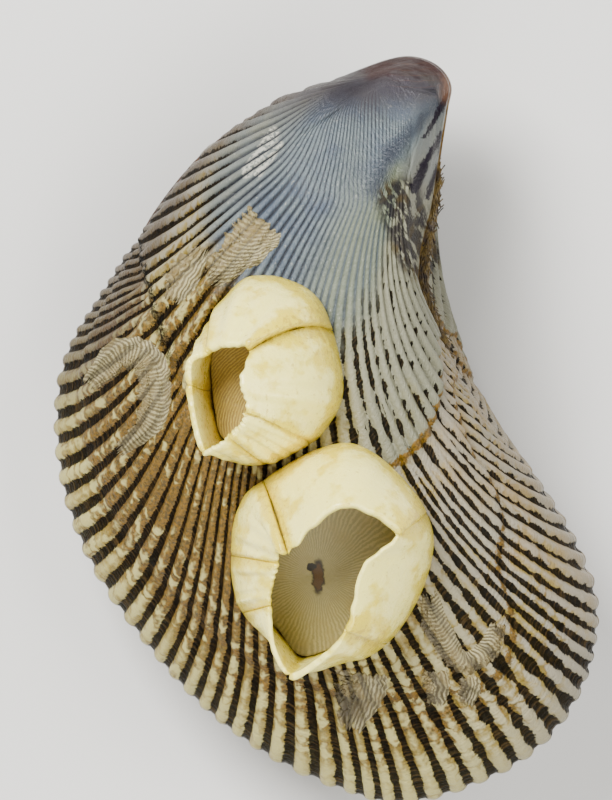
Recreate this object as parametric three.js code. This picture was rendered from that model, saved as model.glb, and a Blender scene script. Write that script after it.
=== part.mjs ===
// Hooked mussel with barnacles: a closed bivalve shell lying on its left valve, with two empty
// barnacles and the remains of older ones cemented on its right valve.
// Millimetres. X and Y are the plan seen from above, with the beak up the page, and Z is up.
import * as THREE from 'three';

// The shell's outline, anticlockwise from the dorsal side of the beak: x, y, the heading in degrees
// at which the ribs reach the margin there, and the number of ribs up to the next point.
const MARGIN = [
  [3.7, 23.1, 130, 4], [0.3, 21.8, 180, 4], [-3.8, 20.0, 194, 5], [-7.6, 17.3, 202, 6],
  [-11.0, 13.4, 204, 6], [-13.8, 9.0, 198, 5], [-16.1, 5.0, 197, 3], [-16.8, 0.9, 199, 3],
  [-16.3, -3.8, 206, 3], [-14.6, -8.3, 218, 3], [-11.8, -12.5, 233, 4], [-8.1, -16.8, 246, 4],
  [-3.8, -20.1, 257, 3], [0.9, -22.3, 271, 3], [4.6, -23.2, 279, 3], [9.0, -22.1, 294, 3],
  [13.1, -19.8, 303, 3], [15.9, -15.9, 318, 4], [16.8, -11.4, 335, 3], [15.6, -7.4, 341, 4],
  [12.9, -3.0, 337, 4], [10.1, 0.4, 310, 4], [8.1, 3.8, 300, 5], [6.1, 8.1, 297, 2],
  [5.9, 10.9, 297, 2], [6.6, 14.1, 290, 1], [7.1, 17.5, 300, 1], [7.5, 20.0, 340, 1],
  [7.7, 21.5, 380, 1], [6.9, 22.7, 420, 1], [5.4, 23.3, 450, 2],
];
const RIBS = 100;
const DORSAL_POINT = 1;
const VENTRAL_POINT = 25;

// The ribs start round a low ellipse on the beak, between these two ends.
const BEAK_DORSAL_END = new THREE.Vector2(3.6, 22.1);
const BEAK_VENTRAL_END = new THREE.Vector2(7.0, 20.9);
const BEAK_HALF_WIDTH = 0.35;
const FAN_FROM = 188;
const FAN_SPREAD = 54;
const FAN_EASE = 2.6;
const FLANK_SPREAD = 24;
const FLANK_EASE = 24;
const START_PULL = 0.58;
const ARRIVAL_PULL = 0.22;

// Each valve's inflation above the plane in which the two valves meet.
const BEAK_RISE = 2.4;
const MAX_RISE = 8.0;
const RISE_RATE = 0.3;
const CREST_SKEW = 0.72;
const CREST_POWER = 0.9;

// The plane in which the valves meet, as the shell lies.
const PLANE_HEIGHT = 9.4;
const ROLL = THREE.MathUtils.degToRad(8);
const PITCH = THREE.MathUtils.degToRad(2);
const VALVE_GAP = 0.1;
const BYSSUS_GAPE = 0.35;
const HINGE_GAPE = 0.2;
const GAPE_FADE_RIBS = 2;

// Ribs: every second groove starts halfway down the shell, where a rib splits in two.
const RIB_HEIGHT_MIDDLE = 0.2;
const RIB_HEIGHT_MARGIN = 0.32;
const RIB_HEIGHT_TO_SPACING = 0.2;
const SMOOTH_ROWS = [0, 0.08, 0.18, 0.28];
const PRIMARY_ROWS = [0.35, 0.42, 0.49, 0.56];
const SPLIT_ROWS = [0.66, 0.77, 0.88, 0.96, 1];
const WEAR_FADE = 1.2;

// The hollow of each valve.
const WALL = 1.2;
const STEEPEST_WALL = 2.2;
const LIP = 1.1;
const LIP_RIB_STEP = 2;
const SLOPE_SPAN = 0.2;
const MIN_SLANT = 0.3;
const NOSE_FILL = 5;
const NOSE_FROM = 17;
const NOSE_TO = 21;
const CAVITY_CENTRE = new THREE.Vector2(-1.6, -3.1);
const CAVITY_ROWS = [0.82, 0.55, 0.25];
const MIN_CAVITY = 0.2;

// What is cemented on the shell clears the rib crests under it.
const CREST_CLEARANCE = 0.5;
const SUTURE_HALF_GAP = 0.025;
const BASE_GAP = 0.25;
const BASE_THICKNESS = 0.4;
const WALL_AT_FOOT = 1.0;
const WALL_AT_RIM = 0.4;
const CRUST_THICKNESS = 0.35;

// Barnacles: foot x, y, rim x, y and the wall's height, twice per wall plate, clockwise. A suture
// between two plates runs through every second point.
const PLATE_NAMES = ['plate_1', 'plate_2', 'plate_3', 'plate_4', 'plate_5', 'plate_6'];
const UPPER_BARNACLE = [
  [-7.1, 7.0, -7.4, 4.8, 5.6], [-4.4, 9.5, -6.1, 5.3, 5.9], [-0.5, 8.1, -4.8, 5.0, 6.1],
  [1.1, 2.8, -5.1, 2.8, 6.4], [-0.2, -0.2, -4.8, 1.1, 6.1], [-2.0, -1.4, -5.3, 0.4, 6.1],
  [-3.6, -2.1, -5.9, -0.4, 5.9], [-5.4, -2.1, -6.9, -1.2, 6.1], [-7.1, -1.1, -7.7, -1.4, 5.9],
  [-7.7, 0.6, -8.3, 0.6, 5.7], [-8.0, 2.4, -8.6, 2.8, 5.6], [-7.9, 4.9, -8.5, 4.3, 5.7],
];
const LOWER_BARNACLE = [
  [-3.9, -3.1, -2.5, -7.5, 6.5], [1.6, -0.9, 0.9, -4.7, 6.9], [6.2, -5.1, 4.5, -6.4, 6.7],
  [6.3, -9.1, 2.3, -8.6, 7.2], [3.8, -13.3, 1.3, -12.4, 6.9], [0.3, -14.6, -0.5, -14.4, 6.5],
  [-1.9, -14.9, -2.3, -15.3, 6.4], [-3.6, -13.1, -3.4, -13.5, 6.2], [-5.2, -11.4, -3.6, -10.9, 6.4],
  [-5.8, -9.7, -3.4, -9.5, 6.5], [-5.9, -7.8, -3.1, -8.3, 6.5], [-5.5, -5.0, -2.9, -7.0, 6.6],
];

// Old barnacle bases, as bands: x, y and half width along the middle of each.
const OLD_BASES = {
  old_base_arch: [[-14.8, 2.7, 0.6], [-12.9, 5.0, 0.8], [-11.1, 4.5, 0.9], [-10.5, 2.4, 0.8],
    [-11.1, 0.2, 0.7], [-13.1, -1.5, 0.4]],
  old_base_fan: [[-3.2, 13.1, 0.3], [-4.9, 11.3, 1.2], [-7.4, 9.1, 0.7]],
  old_base_small_fan: [[-7.6, 11.3, 0.4], [-8.8, 9.4, 0.8], [-9.6, 7.9, 0.4]],
  old_base_posterior: [[2.6, -15.0, 1.2], [2.4, -16.3, 1.1], [1.5, -18.7, 0.5]],
  old_base_hoop: [[6.3, -10.1, 0.5], [7.1, -12.5, 0.5], [8.4, -14.4, 0.5], [9.9, -13.8, 0.5],
    [10.7, -11.9, 0.5]],
  old_base_flake_1: [[6.9, -14.9, 0.6], [7.0, -16.0, 0.7], [6.9, -17.2, 0.4]],
  old_base_flake_2: [[9.0, -15.3, 0.5], [9.0, -16.2, 0.6], [8.8, -17.2, 0.3]],
};

// The strips between the valves: first and last outline point, reach inside and outside the margin,
// half thickness, and how much of that is left at the outer edge.
const BYSSUS = { from: 22.2, to: 25.7, inside: 0.5, outside: 0.65, half: 0.28, edge: 0.6, steps: 14 };
const LIGAMENT = { from: 1.2, to: 4.2, inside: 0.6, outside: 0.1, half: 0.14, edge: 0.6, steps: 12 };

const { clamp, degToRad, lerp, smoothstep } = THREE.MathUtils;
const heading = (degrees) => new THREE.Vector2(Math.cos(degToRad(degrees)), Math.sin(degToRad(degrees)));

// Curves through rows of numbers.

function throughRows(row, t) {
  const i = Math.floor(t);
  const f = t - i;
  const [a, b, c, d] = [row(i - 1), row(i), row(i + 1), row(i + 2)];
  return b.map((value, k) => 0.5 * (2 * value + (c[k] - a[k]) * f
    + (2 * a[k] - 5 * value + 4 * c[k] - d[k]) * f * f + (3 * value - a[k] - 3 * c[k] + d[k]) * f ** 3));
}

const closedRow = (rows) => (i) => rows[THREE.MathUtils.euclideanModulo(i, rows.length)];
const openRow = (rows) => (i) => rows[clamp(i, 0, rows.length - 1)];

// The margin and the ribs in plan.

const RIBS_BEFORE = MARGIN.map((_, i) => MARGIN.slice(0, i).reduce((sum, point) => sum + point[3], 0));

function marginRow(i) {
  const turns = Math.floor(i / MARGIN.length);
  const j = i - turns * MARGIN.length;
  const [x, y, arrival] = MARGIN[j];
  return [x, y, arrival + 360 * turns, RIBS_BEFORE[j] + RIBS * turns];
}

const marginAt = (t) => throughRows(marginRow, t);

const BISECTIONS = 40;

function marginAtRib(rib) {
  let low = 0;
  let high = MARGIN.length;
  for (let step = 0; step < BISECTIONS; step += 1) {
    const middle = (low + high) / 2;
    if (marginAt(middle)[3] < rib) low = middle;
    else high = middle;
  }
  return marginAt(low);
}

// How far round the beak a rib starts: 0 to 1 over the fan of long ribs, 1 to 2 round the nose.
function aroundBeak(rib) {
  const dorsal = RIBS_BEFORE[DORSAL_POINT];
  const ventral = RIBS_BEFORE[VENTRAL_POINT];
  const behind = rib < dorsal ? rib + RIBS : rib;
  return behind <= ventral
    ? (behind - dorsal) / (ventral - dorsal)
    : 1 + (behind - ventral) / (RIBS + dorsal - ventral);
}

function ribStart(around) {
  const turn = Math.PI * (1 + around);
  const centre = BEAK_DORSAL_END.clone().lerp(BEAK_VENTRAL_END, 0.5);
  const along = BEAK_VENTRAL_END.clone().sub(centre);
  const across = new THREE.Vector2(along.y, -along.x).setLength(BEAK_HALF_WIDTH);
  return centre.addScaledVector(along, Math.cos(turn)).addScaledVector(across, -Math.sin(turn));
}

// One rib in plan: a cubic curve that fans out from the beak and meets the margin at the margin's
// own heading. On the nose the ribs go straight out.
function ribCurve(number) {
  const rib = THREE.MathUtils.euclideanModulo(number, RIBS);
  const [x, y, arrival] = marginAtRib(rib);
  const around = aroundBeak(rib);
  const start = ribStart(around);
  const end = new THREE.Vector2(x, y);
  const chord = end.clone().sub(start);
  const length = chord.length();
  const leave = around <= 1
    ? heading(FAN_FROM + FAN_SPREAD * (1 - (1 - around) ** FAN_EASE) + FLANK_SPREAD * around ** FLANK_EASE)
    : chord.normalize();
  const curve = new THREE.CubicBezierCurve(
    start,
    start.clone().addScaledVector(leave, START_PULL * length),
    end.clone().addScaledVector(heading(arrival), -ARRIVAL_PULL * length),
    end,
  );
  return { curve, length };
}

// One valve as it lies on top: x, y and height for rib number u and growth v, 0 beak to 1 margin.

const gapWindow = (rib, strip) => {
  const first = marginAt(strip.from)[3];
  const last = marginAt(strip.to)[3];
  return smoothstep(rib, first - GAPE_FADE_RIBS, first)
    * (1 - smoothstep(rib, last, last + GAPE_FADE_RIBS));
};
const planeAt = (x, y) => PLANE_HEIGHT + x * Math.tan(ROLL) + y * Math.tan(PITCH);
const valveGap = (rib) => VALVE_GAP + BYSSUS_GAPE * gapWindow(rib, BYSSUS)
  + HINGE_GAPE * gapWindow(rib, LIGAMENT);

function rise(length, v) {
  const crest = MAX_RISE * Math.tanh(RISE_RATE * length / MAX_RISE);
  const along = Math.sin(Math.PI * v ** CREST_SKEW) ** CREST_POWER;
  return BEAK_RISE * Math.sqrt(Math.max(0, 1 - v * v)) + crest * along;
}

const RIB_CACHE = new Map();
function ribLine(rib) {
  if (!RIB_CACHE.has(rib)) RIB_CACHE.set(rib, { ...ribCurve(rib), gap: valveGap(rib) });
  return RIB_CACHE.get(rib);
}

function smoothPoint(rib, v) {
  const { curve, length, gap } = ribLine(rib);
  const plan = curve.getPoint(v);
  return new THREE.Vector3(plan.x, plan.y, planeAt(plan.x, plan.y) + gap + rise(length, v));
}

// The step up from the smooth surface to a rib's crest, square to the surface. Close ribs are low.
const SLOPE_STEP = 0.01;
const SLOPE_FROM = 0.02;
const SLOPE_TO = 0.985;

function ribStep(rib, v) {
  const inside = clamp(v, SLOPE_FROM, SLOPE_TO);
  const around = smoothPoint(rib + 0.5, inside).sub(smoothPoint(rib - 0.5, inside));
  const along = smoothPoint(rib, inside + SLOPE_STEP).sub(smoothPoint(rib, inside - SLOPE_STEP));
  const height = Math.min(ribHeight(rib, v), RIB_HEIGHT_TO_SPACING * around.length());
  return along.cross(around).setLength(height);
}

function ribHeight(rib, v) {
  const [first, middle] = [SMOOTH_ROWS.at(-1), PRIMARY_ROWS.at(-1)];
  if (v <= first) return 0;
  if (v <= middle) {
    const isCrest = rib % 2 === 1;
    return isCrest ? RIB_HEIGHT_MIDDLE * (v - first) / (middle - first) : 0;
  }
  const isCrest = rib % 1 === 0.5;
  return isCrest ? lerp(RIB_HEIGHT_MIDDLE, RIB_HEIGHT_MARGIN, (v - middle) / (1 - middle)) : 0;
}

// The left valve is the mirror image across the plane, worn flat and smooth where it rests.

const PLANE_NORMAL = new THREE.Vector3(-Math.tan(ROLL), -Math.tan(PITCH), 1).normalize();
const mirrored = (point) => point.clone().addScaledVector(
  PLANE_NORMAL, -2 * point.clone().setZ(point.z - PLANE_HEIGHT).dot(PLANE_NORMAL),
);

function rightPoint(rib, v) {
  return smoothPoint(rib, v).add(ribStep(rib, v));
}

function leftPoint(rib, v) {
  const smooth = smoothPoint(rib, v);
  const unworn = smoothstep(mirrored(smooth).z, 0, WEAR_FADE);
  const point = mirrored(smooth.addScaledVector(ribStep(rib, v), unworn));
  return point.setZ(Math.max(point.z, 0));
}

// Heights on the smooth right valve at any point of the plan.

const SAMPLE_ROWS = 28;
const SAMPLE_TRIANGLES = (() => {
  const triangles = [];
  for (let rib = 0; rib < RIBS; rib += 1) {
    for (let row = 0; row < SAMPLE_ROWS; row += 1) {
      const [v0, v1] = [row / SAMPLE_ROWS, (row + 1) / SAMPLE_ROWS];
      const corners = [smoothPoint(rib, v0), smoothPoint(rib, v1), smoothPoint(rib + 1, v1),
        smoothPoint(rib + 1, v0)];
      triangles.push([corners[0], corners[1], corners[2]], [corners[0], corners[2], corners[3]]);
    }
  }
  return triangles;
})();

function shellHeight(x, y) {
  let best = -Infinity;
  for (const [a, b, c] of SAMPLE_TRIANGLES) {
    const area = (b.x - a.x) * (c.y - a.y) - (c.x - a.x) * (b.y - a.y);
    const s = ((x - a.x) * (c.y - a.y) - (c.x - a.x) * (y - a.y)) / area;
    const t = ((b.x - a.x) * (y - a.y) - (x - a.x) * (b.y - a.y)) / area;
    if (s >= 0 && t >= 0 && s + t <= 1) best = Math.max(best, a.z + s * (b.z - a.z) + t * (c.z - a.z));
  }
  return best;
}

const seatHeight = (x, y) => shellHeight(x, y) + CREST_CLEARANCE;

// Meshes.

class Surface {
  constructor() {
    this.points = [];
    this.faces = [];
  }

  ring(points) {
    const first = this.points.length;
    this.points.push(...points);
    return points.map((_, i) => first + i);
  }

  triangle(a, b, c, flipped) {
    this.faces.push(...(flipped ? [a, c, b] : [a, b, c]));
  }

  // Joins two rows, where the outer one has as many points as the inner one or a multiple of that.
  join(inner, outer, { closed = true, flipped = false } = {}) {
    const ratio = Math.round(outer.length / inner.length);
    const count = closed ? inner.length : inner.length - 1;
    for (let i = 0; i < count; i += 1) {
      const next = (i + 1) % inner.length;
      const turn = Math.ceil(ratio / 2);
      for (let k = 0; k < ratio; k += 1) {
        const from = outer[(i * ratio + k) % outer.length];
        const to = outer[(i * ratio + k + 1) % outer.length];
        this.triangle(k < turn ? inner[i] : inner[next], from, to, flipped);
      }
      this.triangle(inner[i], outer[(i * ratio + turn) % outer.length], inner[next], flipped);
    }
  }

  fan(centre, ring, flipped = false) {
    const [middle] = this.ring([centre]);
    ring.forEach((point, i) => this.triangle(middle, point, ring[(i + 1) % ring.length], flipped));
  }

  mesh(name, material) {
    const geometry = new THREE.BufferGeometry().setFromPoints(this.points);
    geometry.setIndex(this.faces);
    geometry.computeVertexNormals();
    const mesh = new THREE.Mesh(geometry, material);
    mesh.name = name;
    return mesh;
  }
}

const counted = (count, make) => Array.from({ length: count }, (_, i) => make(i));

// Valves.

function cavityEdge(rib) {
  const [x, y, arrival] = marginAtRib(rib);
  const ray = new THREE.Vector2(x, y).sub(CAVITY_CENTRE);
  const slant = Math.max(MIN_SLANT, Math.abs(ray.clone().normalize().dot(heading(arrival))));
  const nose = smoothstep(y, NOSE_FROM, NOSE_TO);
  return CAVITY_CENTRE.clone().addScaledVector(ray, 1 - (LIP / slant + NOSE_FILL * nose) / ray.length());
}

function cavityPoint(edge, share, gap) {
  const plan = CAVITY_CENTRE.clone().lerp(edge, share);
  const top = shellHeight(plan.x, plan.y);
  const slopeX = (shellHeight(plan.x + SLOPE_SPAN, plan.y) - top) / SLOPE_SPAN - Math.tan(ROLL);
  const slopeY = (shellHeight(plan.x, plan.y + SLOPE_SPAN) - top) / SLOPE_SPAN - Math.tan(PITCH);
  const wall = WALL * Math.min(STEEPEST_WALL, Math.hypot(1, slopeX, slopeY));
  const floor = planeAt(plan.x, plan.y) + gap;
  return new THREE.Vector3(plan.x, plan.y, Math.max(floor + MIN_CAVITY, top - wall));
}

function valve(name, material, outer, place, flipped) {
  const surface = new Surface();
  const row = (ribStep, v) => surface.ring(counted(RIBS / ribStep, (i) => outer(i * ribStep, v)));
  const rows = [
    ...SMOOTH_ROWS.map((v) => row(2, v)),
    ...PRIMARY_ROWS.map((v) => row(1, v)),
    ...SPLIT_ROWS.map((v) => row(0.5, v)),
  ];
  const beak = outer(0, 0).add(outer(RIBS / 2, 0)).multiplyScalar(0.5);
  surface.fan(beak, rows[0], flipped);
  for (let i = 1; i < rows.length; i += 1) surface.join(rows[i - 1], rows[i], { flipped });

  const edges = counted(RIBS / LIP_RIB_STEP, (i) => cavityEdge(i * LIP_RIB_STEP));
  const gaps = counted(RIBS / LIP_RIB_STEP, (i) => valveGap(i * LIP_RIB_STEP));
  const edgeRing = surface.ring(edges.map((edge, i) => place(
    new THREE.Vector3(edge.x, edge.y, planeAt(edge.x, edge.y) + gaps[i]),
  )));
  surface.join(edgeRing, rows.at(-1), { flipped: !flipped });
  let last = edgeRing;
  for (const share of CAVITY_ROWS) {
    const ring = surface.ring(edges.map((edge, i) => place(cavityPoint(edge, share, gaps[i]))));
    surface.join(ring, last, { flipped: !flipped });
    last = ring;
  }
  surface.fan(place(cavityPoint(CAVITY_CENTRE, 0, VALVE_GAP)), last, !flipped);
  return surface.mesh(name, material);
}

// Strips that lie between the valves along the margin.

const STRIP_LOOK_AHEAD = 0.05;

function marginStrip(name, material, strip) {
  const surface = new Surface();
  const sections = counted(strip.steps + 1, (i) => {
    const t = lerp(strip.from, strip.to, i / strip.steps);
    const [x, y] = marginAt(t);
    const ahead = marginAt(t + STRIP_LOOK_AHEAD);
    const outward = new THREE.Vector2(ahead[1] - y, x - ahead[0]).normalize();
    const corner = (reach, side) => {
      const [px, py] = [x + outward.x * reach, y + outward.y * reach];
      return new THREE.Vector3(px, py, planeAt(px, py) + side * strip.half);
    };
    return surface.ring([corner(-strip.inside, 1), corner(strip.outside, strip.edge),
      corner(strip.outside, -strip.edge), corner(-strip.inside, -1)]);
  });
  for (let i = 0; i < strip.steps; i += 1) surface.join(sections[i], sections[i + 1], { flipped: true });
  for (const [section, flipped] of [[sections[0], true], [sections.at(-1), false]]) {
    surface.triangle(section[0], section[1], section[2], flipped);
    surface.triangle(section[0], section[2], section[3], flipped);
  }
  return surface.mesh(name, material);
}

// A slab between two grids of points: front rows and the matching back rows.

function slab(name, material, front, back) {
  const surface = new Surface();
  const rows = front.map((points, i) => surface.ring([...points, ...back[i].toReversed()]));
  for (let i = 1; i < rows.length; i += 1) surface.join(rows[i - 1], rows[i], { flipped: true });
  const width = front[0].length;
  for (const [row, flipped] of [[rows[0], true], [rows.at(-1), false]]) {
    for (let i = 1; i < width; i += 1) {
      const [a, b] = [row[i - 1], row[i]];
      const [c, d] = [row[2 * width - 1 - i], row[2 * width - i]];
      surface.triangle(a, b, c, flipped);
      surface.triangle(a, c, d, flipped);
    }
  }
  return surface.mesh(name, material);
}

// Barnacles.

const PLATE_STEPS = 4;
const WALL_ROWS = [0, 0.25, 0.5, 0.75, 1];
const WALL_LEAN = 0.1;
const WALL_SHOULDER = 0.72;
const BASE_POINTS = 24;
const BASE_MIDDLE_RING = 0.5;

function barnacleWall(stations) {
  const middle = (k) => new THREE.Vector2(
    stations.reduce((sum, station) => sum + station[k], 0) / stations.length,
    stations.reduce((sum, station) => sum + station[k + 1], 0) / stations.length,
  );
  const [footMiddle, rimMiddle] = [middle(0), middle(2)];
  const outer = (t, s) => {
    const [footX, footY, rimX, rimY, height] = throughRows(closedRow(stations), t);
    const foot = new THREE.Vector3(footX, footY, seatHeight(footX, footY));
    const rim = new THREE.Vector3(rimX, rimY, shellHeight(footX, footY) + height);
    const shoulder = new THREE.Vector3(
      lerp(footX, rimX, WALL_LEAN), lerp(footY, rimY, WALL_LEAN), lerp(foot.z, rim.z, WALL_SHOULDER),
    );
    return new THREE.QuadraticBezierCurve3(foot, shoulder, rim).getPoint(s);
  };
  const inner = (t, s, extra = 0) => {
    const point = outer(t, s);
    const axis = footMiddle.clone().lerp(rimMiddle, s);
    const inward = axis.sub(new THREE.Vector2(point.x, point.y)).normalize();
    const wall = lerp(WALL_AT_FOOT, WALL_AT_RIM, s) + extra;
    const [x, y] = [point.x + inward.x * wall, point.y + inward.y * wall];
    return new THREE.Vector3(x, y, s === 0 ? seatHeight(x, y) : point.z);
  };
  return { outer, inner, footMiddle, turns: stations.length };
}

function barnaclePlate(name, material, wall, plate) {
  const first = 2 * plate + SUTURE_HALF_GAP;
  const last = 2 * plate + 2 - SUTURE_HALF_GAP;
  const across = counted(PLATE_STEPS + 1, (i) => lerp(first, last, i / PLATE_STEPS));
  const grid = (side) => WALL_ROWS.map((s) => across.map((t) => side(t, s)));
  return slab(name, material, grid(wall.inner), grid(wall.outer));
}

function barnacleBase(name, material, wall) {
  const surface = new Surface();
  const edge = counted(BASE_POINTS, (i) => wall.inner(wall.turns * (1 - i / BASE_POINTS), 0, BASE_GAP));
  const lay = (share, lift) => edge.map(({ x, y }) => {
    const plan = wall.footMiddle.clone().lerp(new THREE.Vector2(x, y), share);
    return new THREE.Vector3(plan.x, plan.y, seatHeight(plan.x, plan.y) + lift);
  });
  const middle = (lift) => {
    const { x, y } = wall.footMiddle;
    return new THREE.Vector3(x, y, seatHeight(x, y) + lift);
  };
  const topInner = surface.ring(lay(BASE_MIDDLE_RING, BASE_THICKNESS));
  const topOuter = surface.ring(lay(1, BASE_THICKNESS));
  const bottomInner = surface.ring(lay(BASE_MIDDLE_RING, 0));
  const bottomOuter = surface.ring(lay(1, 0));
  surface.fan(middle(BASE_THICKNESS), topInner);
  surface.join(topInner, topOuter);
  surface.join(topOuter, bottomOuter);
  surface.join(bottomInner, bottomOuter, { flipped: true });
  surface.fan(middle(0), bottomInner, true);
  return surface.mesh(name, material);
}

function barnacle(prefix, stations, materials) {
  const group = new THREE.Group();
  const wall = barnacleWall(stations);
  group.add(barnacleBase(`${prefix}_base`, materials.barnacleBase.clone(), wall));
  PLATE_NAMES.forEach((plateName, i) => {
    group.add(barnaclePlate(`${prefix}_${plateName}`, materials.barnacle.clone(), wall, i));
  });
  return group;
}

// Old bases left on the valve by barnacles that have come away.

const CRUST_STEPS = 3;
const CRUST_SHARES = [-1, -0.35, 0.35, 1];
const CRUST_LOOK_AHEAD = 0.1;
const CRUST_EDGE = 0.5;

function crust(name, material, stations) {
  const end = stations.length - 1;
  const steps = CRUST_STEPS * end;
  const at = (t) => throughRows(openRow(stations), t);
  const rows = (lift) => counted(steps + 1, (i) => {
    const t = end * (i / steps);
    const [x, y, half] = at(t);
    const before = at(Math.max(0, t - CRUST_LOOK_AHEAD));
    const after = at(Math.min(end, t + CRUST_LOOK_AHEAD));
    const side = new THREE.Vector2(after[1] - before[1], before[0] - after[0]).normalize();
    return CRUST_SHARES.map((share) => {
      const [px, py] = [x + side.x * half * share, y + side.y * half * share];
      const rounded = lerp(1, CRUST_EDGE, Math.abs(share));
      return new THREE.Vector3(px, py, seatHeight(px, py) + lift * rounded);
    });
  });
  return slab(name, material, rows(CRUST_THICKNESS), rows(0));
}

// Assembly.

const finish = (color, roughness) => new THREE.MeshStandardMaterial({ color, roughness, metalness: 0 });
const materials = {
  shell: finish('#8d8277', 0.45),
  ligament: finish('#3a2415', 0.6),
  byssus: finish('#7a5426', 0.8),
  barnacle: finish('#e6dcbb', 0.5),
  barnacleBase: finish('#8a8168', 0.7),
  crust: finish('#c9bfa0', 0.75),
};

const shell = new THREE.Group();
shell.add(
  valve('right_valve', materials.shell.clone(), rightPoint, (point) => point, false),
  valve('left_valve', materials.shell.clone(), leftPoint, mirrored, true),
  marginStrip('hinge_ligament', materials.ligament, LIGAMENT),
  marginStrip('byssus_remains', materials.byssus, BYSSUS),
);

const oldBases = new THREE.Group();
for (const [name, stations] of Object.entries(OLD_BASES)) {
  oldBases.add(crust(name, materials.crust.clone(), stations));
}

const mussel = new THREE.Group();
mussel.name = 'hooked_mussel';
mussel.add(
  shell,
  barnacle('upper_barnacle', UPPER_BARNACLE, materials),
  barnacle('lower_barnacle', LOWER_BARNACLE, materials),
  oldBases,
);

export default mussel;
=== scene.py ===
# %% [markdown]
# This lesson dresses a hooked mussel shell. Two ribbed valves lie closed on a pale floor, and two empty
# barnacles and the bases of older ones are cemented on the upper valve. The solids that carry the object
# come first, as a fixed frame. Every piece made here takes the place of one of those solids, so nothing
# has to be fitted afterwards. Lengths in the script are millimetres until a mesh is made, because that
# is how a shell is measured, and Blender's own unit is the metre.

# %% Load the frame
import math
from types import SimpleNamespace

import bpy
import numpy as np
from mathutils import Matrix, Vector
from mathutils.bvhtree import BVHTree


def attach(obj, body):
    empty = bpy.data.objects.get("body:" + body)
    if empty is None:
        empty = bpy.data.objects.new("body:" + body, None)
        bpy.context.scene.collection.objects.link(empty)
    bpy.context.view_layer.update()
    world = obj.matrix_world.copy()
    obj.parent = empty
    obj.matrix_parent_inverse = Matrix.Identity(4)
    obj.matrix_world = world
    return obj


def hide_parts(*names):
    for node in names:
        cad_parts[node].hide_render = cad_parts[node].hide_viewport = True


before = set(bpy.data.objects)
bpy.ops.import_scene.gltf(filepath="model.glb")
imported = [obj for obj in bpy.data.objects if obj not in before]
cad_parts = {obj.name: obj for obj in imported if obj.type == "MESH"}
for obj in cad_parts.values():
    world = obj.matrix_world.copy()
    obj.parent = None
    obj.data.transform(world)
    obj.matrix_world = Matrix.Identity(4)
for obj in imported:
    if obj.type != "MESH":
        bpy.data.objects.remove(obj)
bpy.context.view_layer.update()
MM = 0.001

# %% [markdown]
# The shell is seen from straight above. A very long lens keeps the tall barnacles from leaning outwards,
# so a point of the plan falls on the same pixel whatever its height. The camera's distance follows from
# the scale: the frame is 800 pixels high, and 16 of them make a millimetre.

# %% Camera
PIXELS_PER_MM = 16.0
FRAME_PIXELS = 800
FRAME_HEIGHT = FRAME_PIXELS / PIXELS_PER_MM
FRAME_CENTRE = (-1.25, 1.875)
LENS = 900.0
SENSOR = 36.0
MEETING_HEIGHT = 9.4
FARTHEST_IN_METRES = 10.0

camera = bpy.data.objects.new("camera", bpy.data.cameras.new("camera"))
camera.data.lens = LENS
camera.data.sensor_width = SENSOR
camera_height = MEETING_HEIGHT + FRAME_HEIGHT * LENS / SENSOR
camera.location = Vector((FRAME_CENTRE[0], FRAME_CENTRE[1], camera_height)) * MM
camera.data.clip_end = FARTHEST_IN_METRES
bpy.context.scene.collection.objects.link(camera)
bpy.context.scene.camera = camera
print("camera height in mm", round(camera_height))

# %% [markdown]
# A collector's picture of a shell has soft light from all round, with a little more from the upper left,
# so that the ribs show their relief. Three large area lamps and a pale world do that. The floor is a
# plain disc; it isn't part of the shell.

# %% Floor and light
FLOOR_RADIUS = 400.0
FLOOR_SIDES = 96
FLOOR_COLOUR = "d1cfca"
FLOOR_ROUGHNESS = 0.9
ROOM_COLOUR = "e8ebef"
ROOM_STRENGTH = 0.28
LAMPS = {
    "key": {"place": (-130, 150, 290), "size": 150, "watts": 2.8},
    "fill": {"place": (210, 20, 270), "size": 220, "watts": 1.1},
    "front": {"place": (-40, -230, 240), "size": 220, "watts": 1.0},
}


def new_object(name, points, faces):
    """A mesh object at the origin from points in millimetres."""
    mesh = bpy.data.meshes.new(name)
    mesh.from_pydata((np.asarray(points, float) * MM).tolist(), [], faces)
    made = bpy.data.objects.new(name, mesh)
    bpy.context.scene.collection.objects.link(made)
    return made


def hex_colour(text):
    """Linear colour, with alpha, from the six digits of a screen colour."""
    screen = np.array([int(text[i:i + 2], 16) for i in (0, 2, 4)]) / 255
    linear = np.where(screen <= 0.04045, screen / 12.92, ((screen + 0.055) / 1.055) ** 2.4)
    return (*linear.tolist(), 1.0)


turns = np.linspace(0, 2 * math.pi, FLOOR_SIDES, endpoint=False)
disc = np.column_stack([np.cos(turns), np.sin(turns), 0 * turns]) * FLOOR_RADIUS
floor = new_object("floor", disc, [list(range(FLOOR_SIDES))])
paper = bpy.data.materials.new("pale paper")
paper.use_nodes = True
paper_inputs = paper.node_tree.nodes["Principled BSDF"].inputs
paper_inputs["Base Color"].default_value = hex_colour(FLOOR_COLOUR)
paper_inputs["Roughness"].default_value = FLOOR_ROUGHNESS
floor.data.materials.append(paper)

for lamp_name, lamp in LAMPS.items():
    light = bpy.data.lights.new(lamp_name, "AREA")
    light.size = lamp["size"] * MM
    light.energy = lamp["watts"]
    holder = bpy.data.objects.new(lamp_name, light)
    holder.location = Vector(lamp["place"]) * MM
    holder.rotation_euler = (-holder.location).to_track_quat("-Z", "Y").to_euler()
    bpy.context.scene.collection.objects.link(holder)

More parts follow.
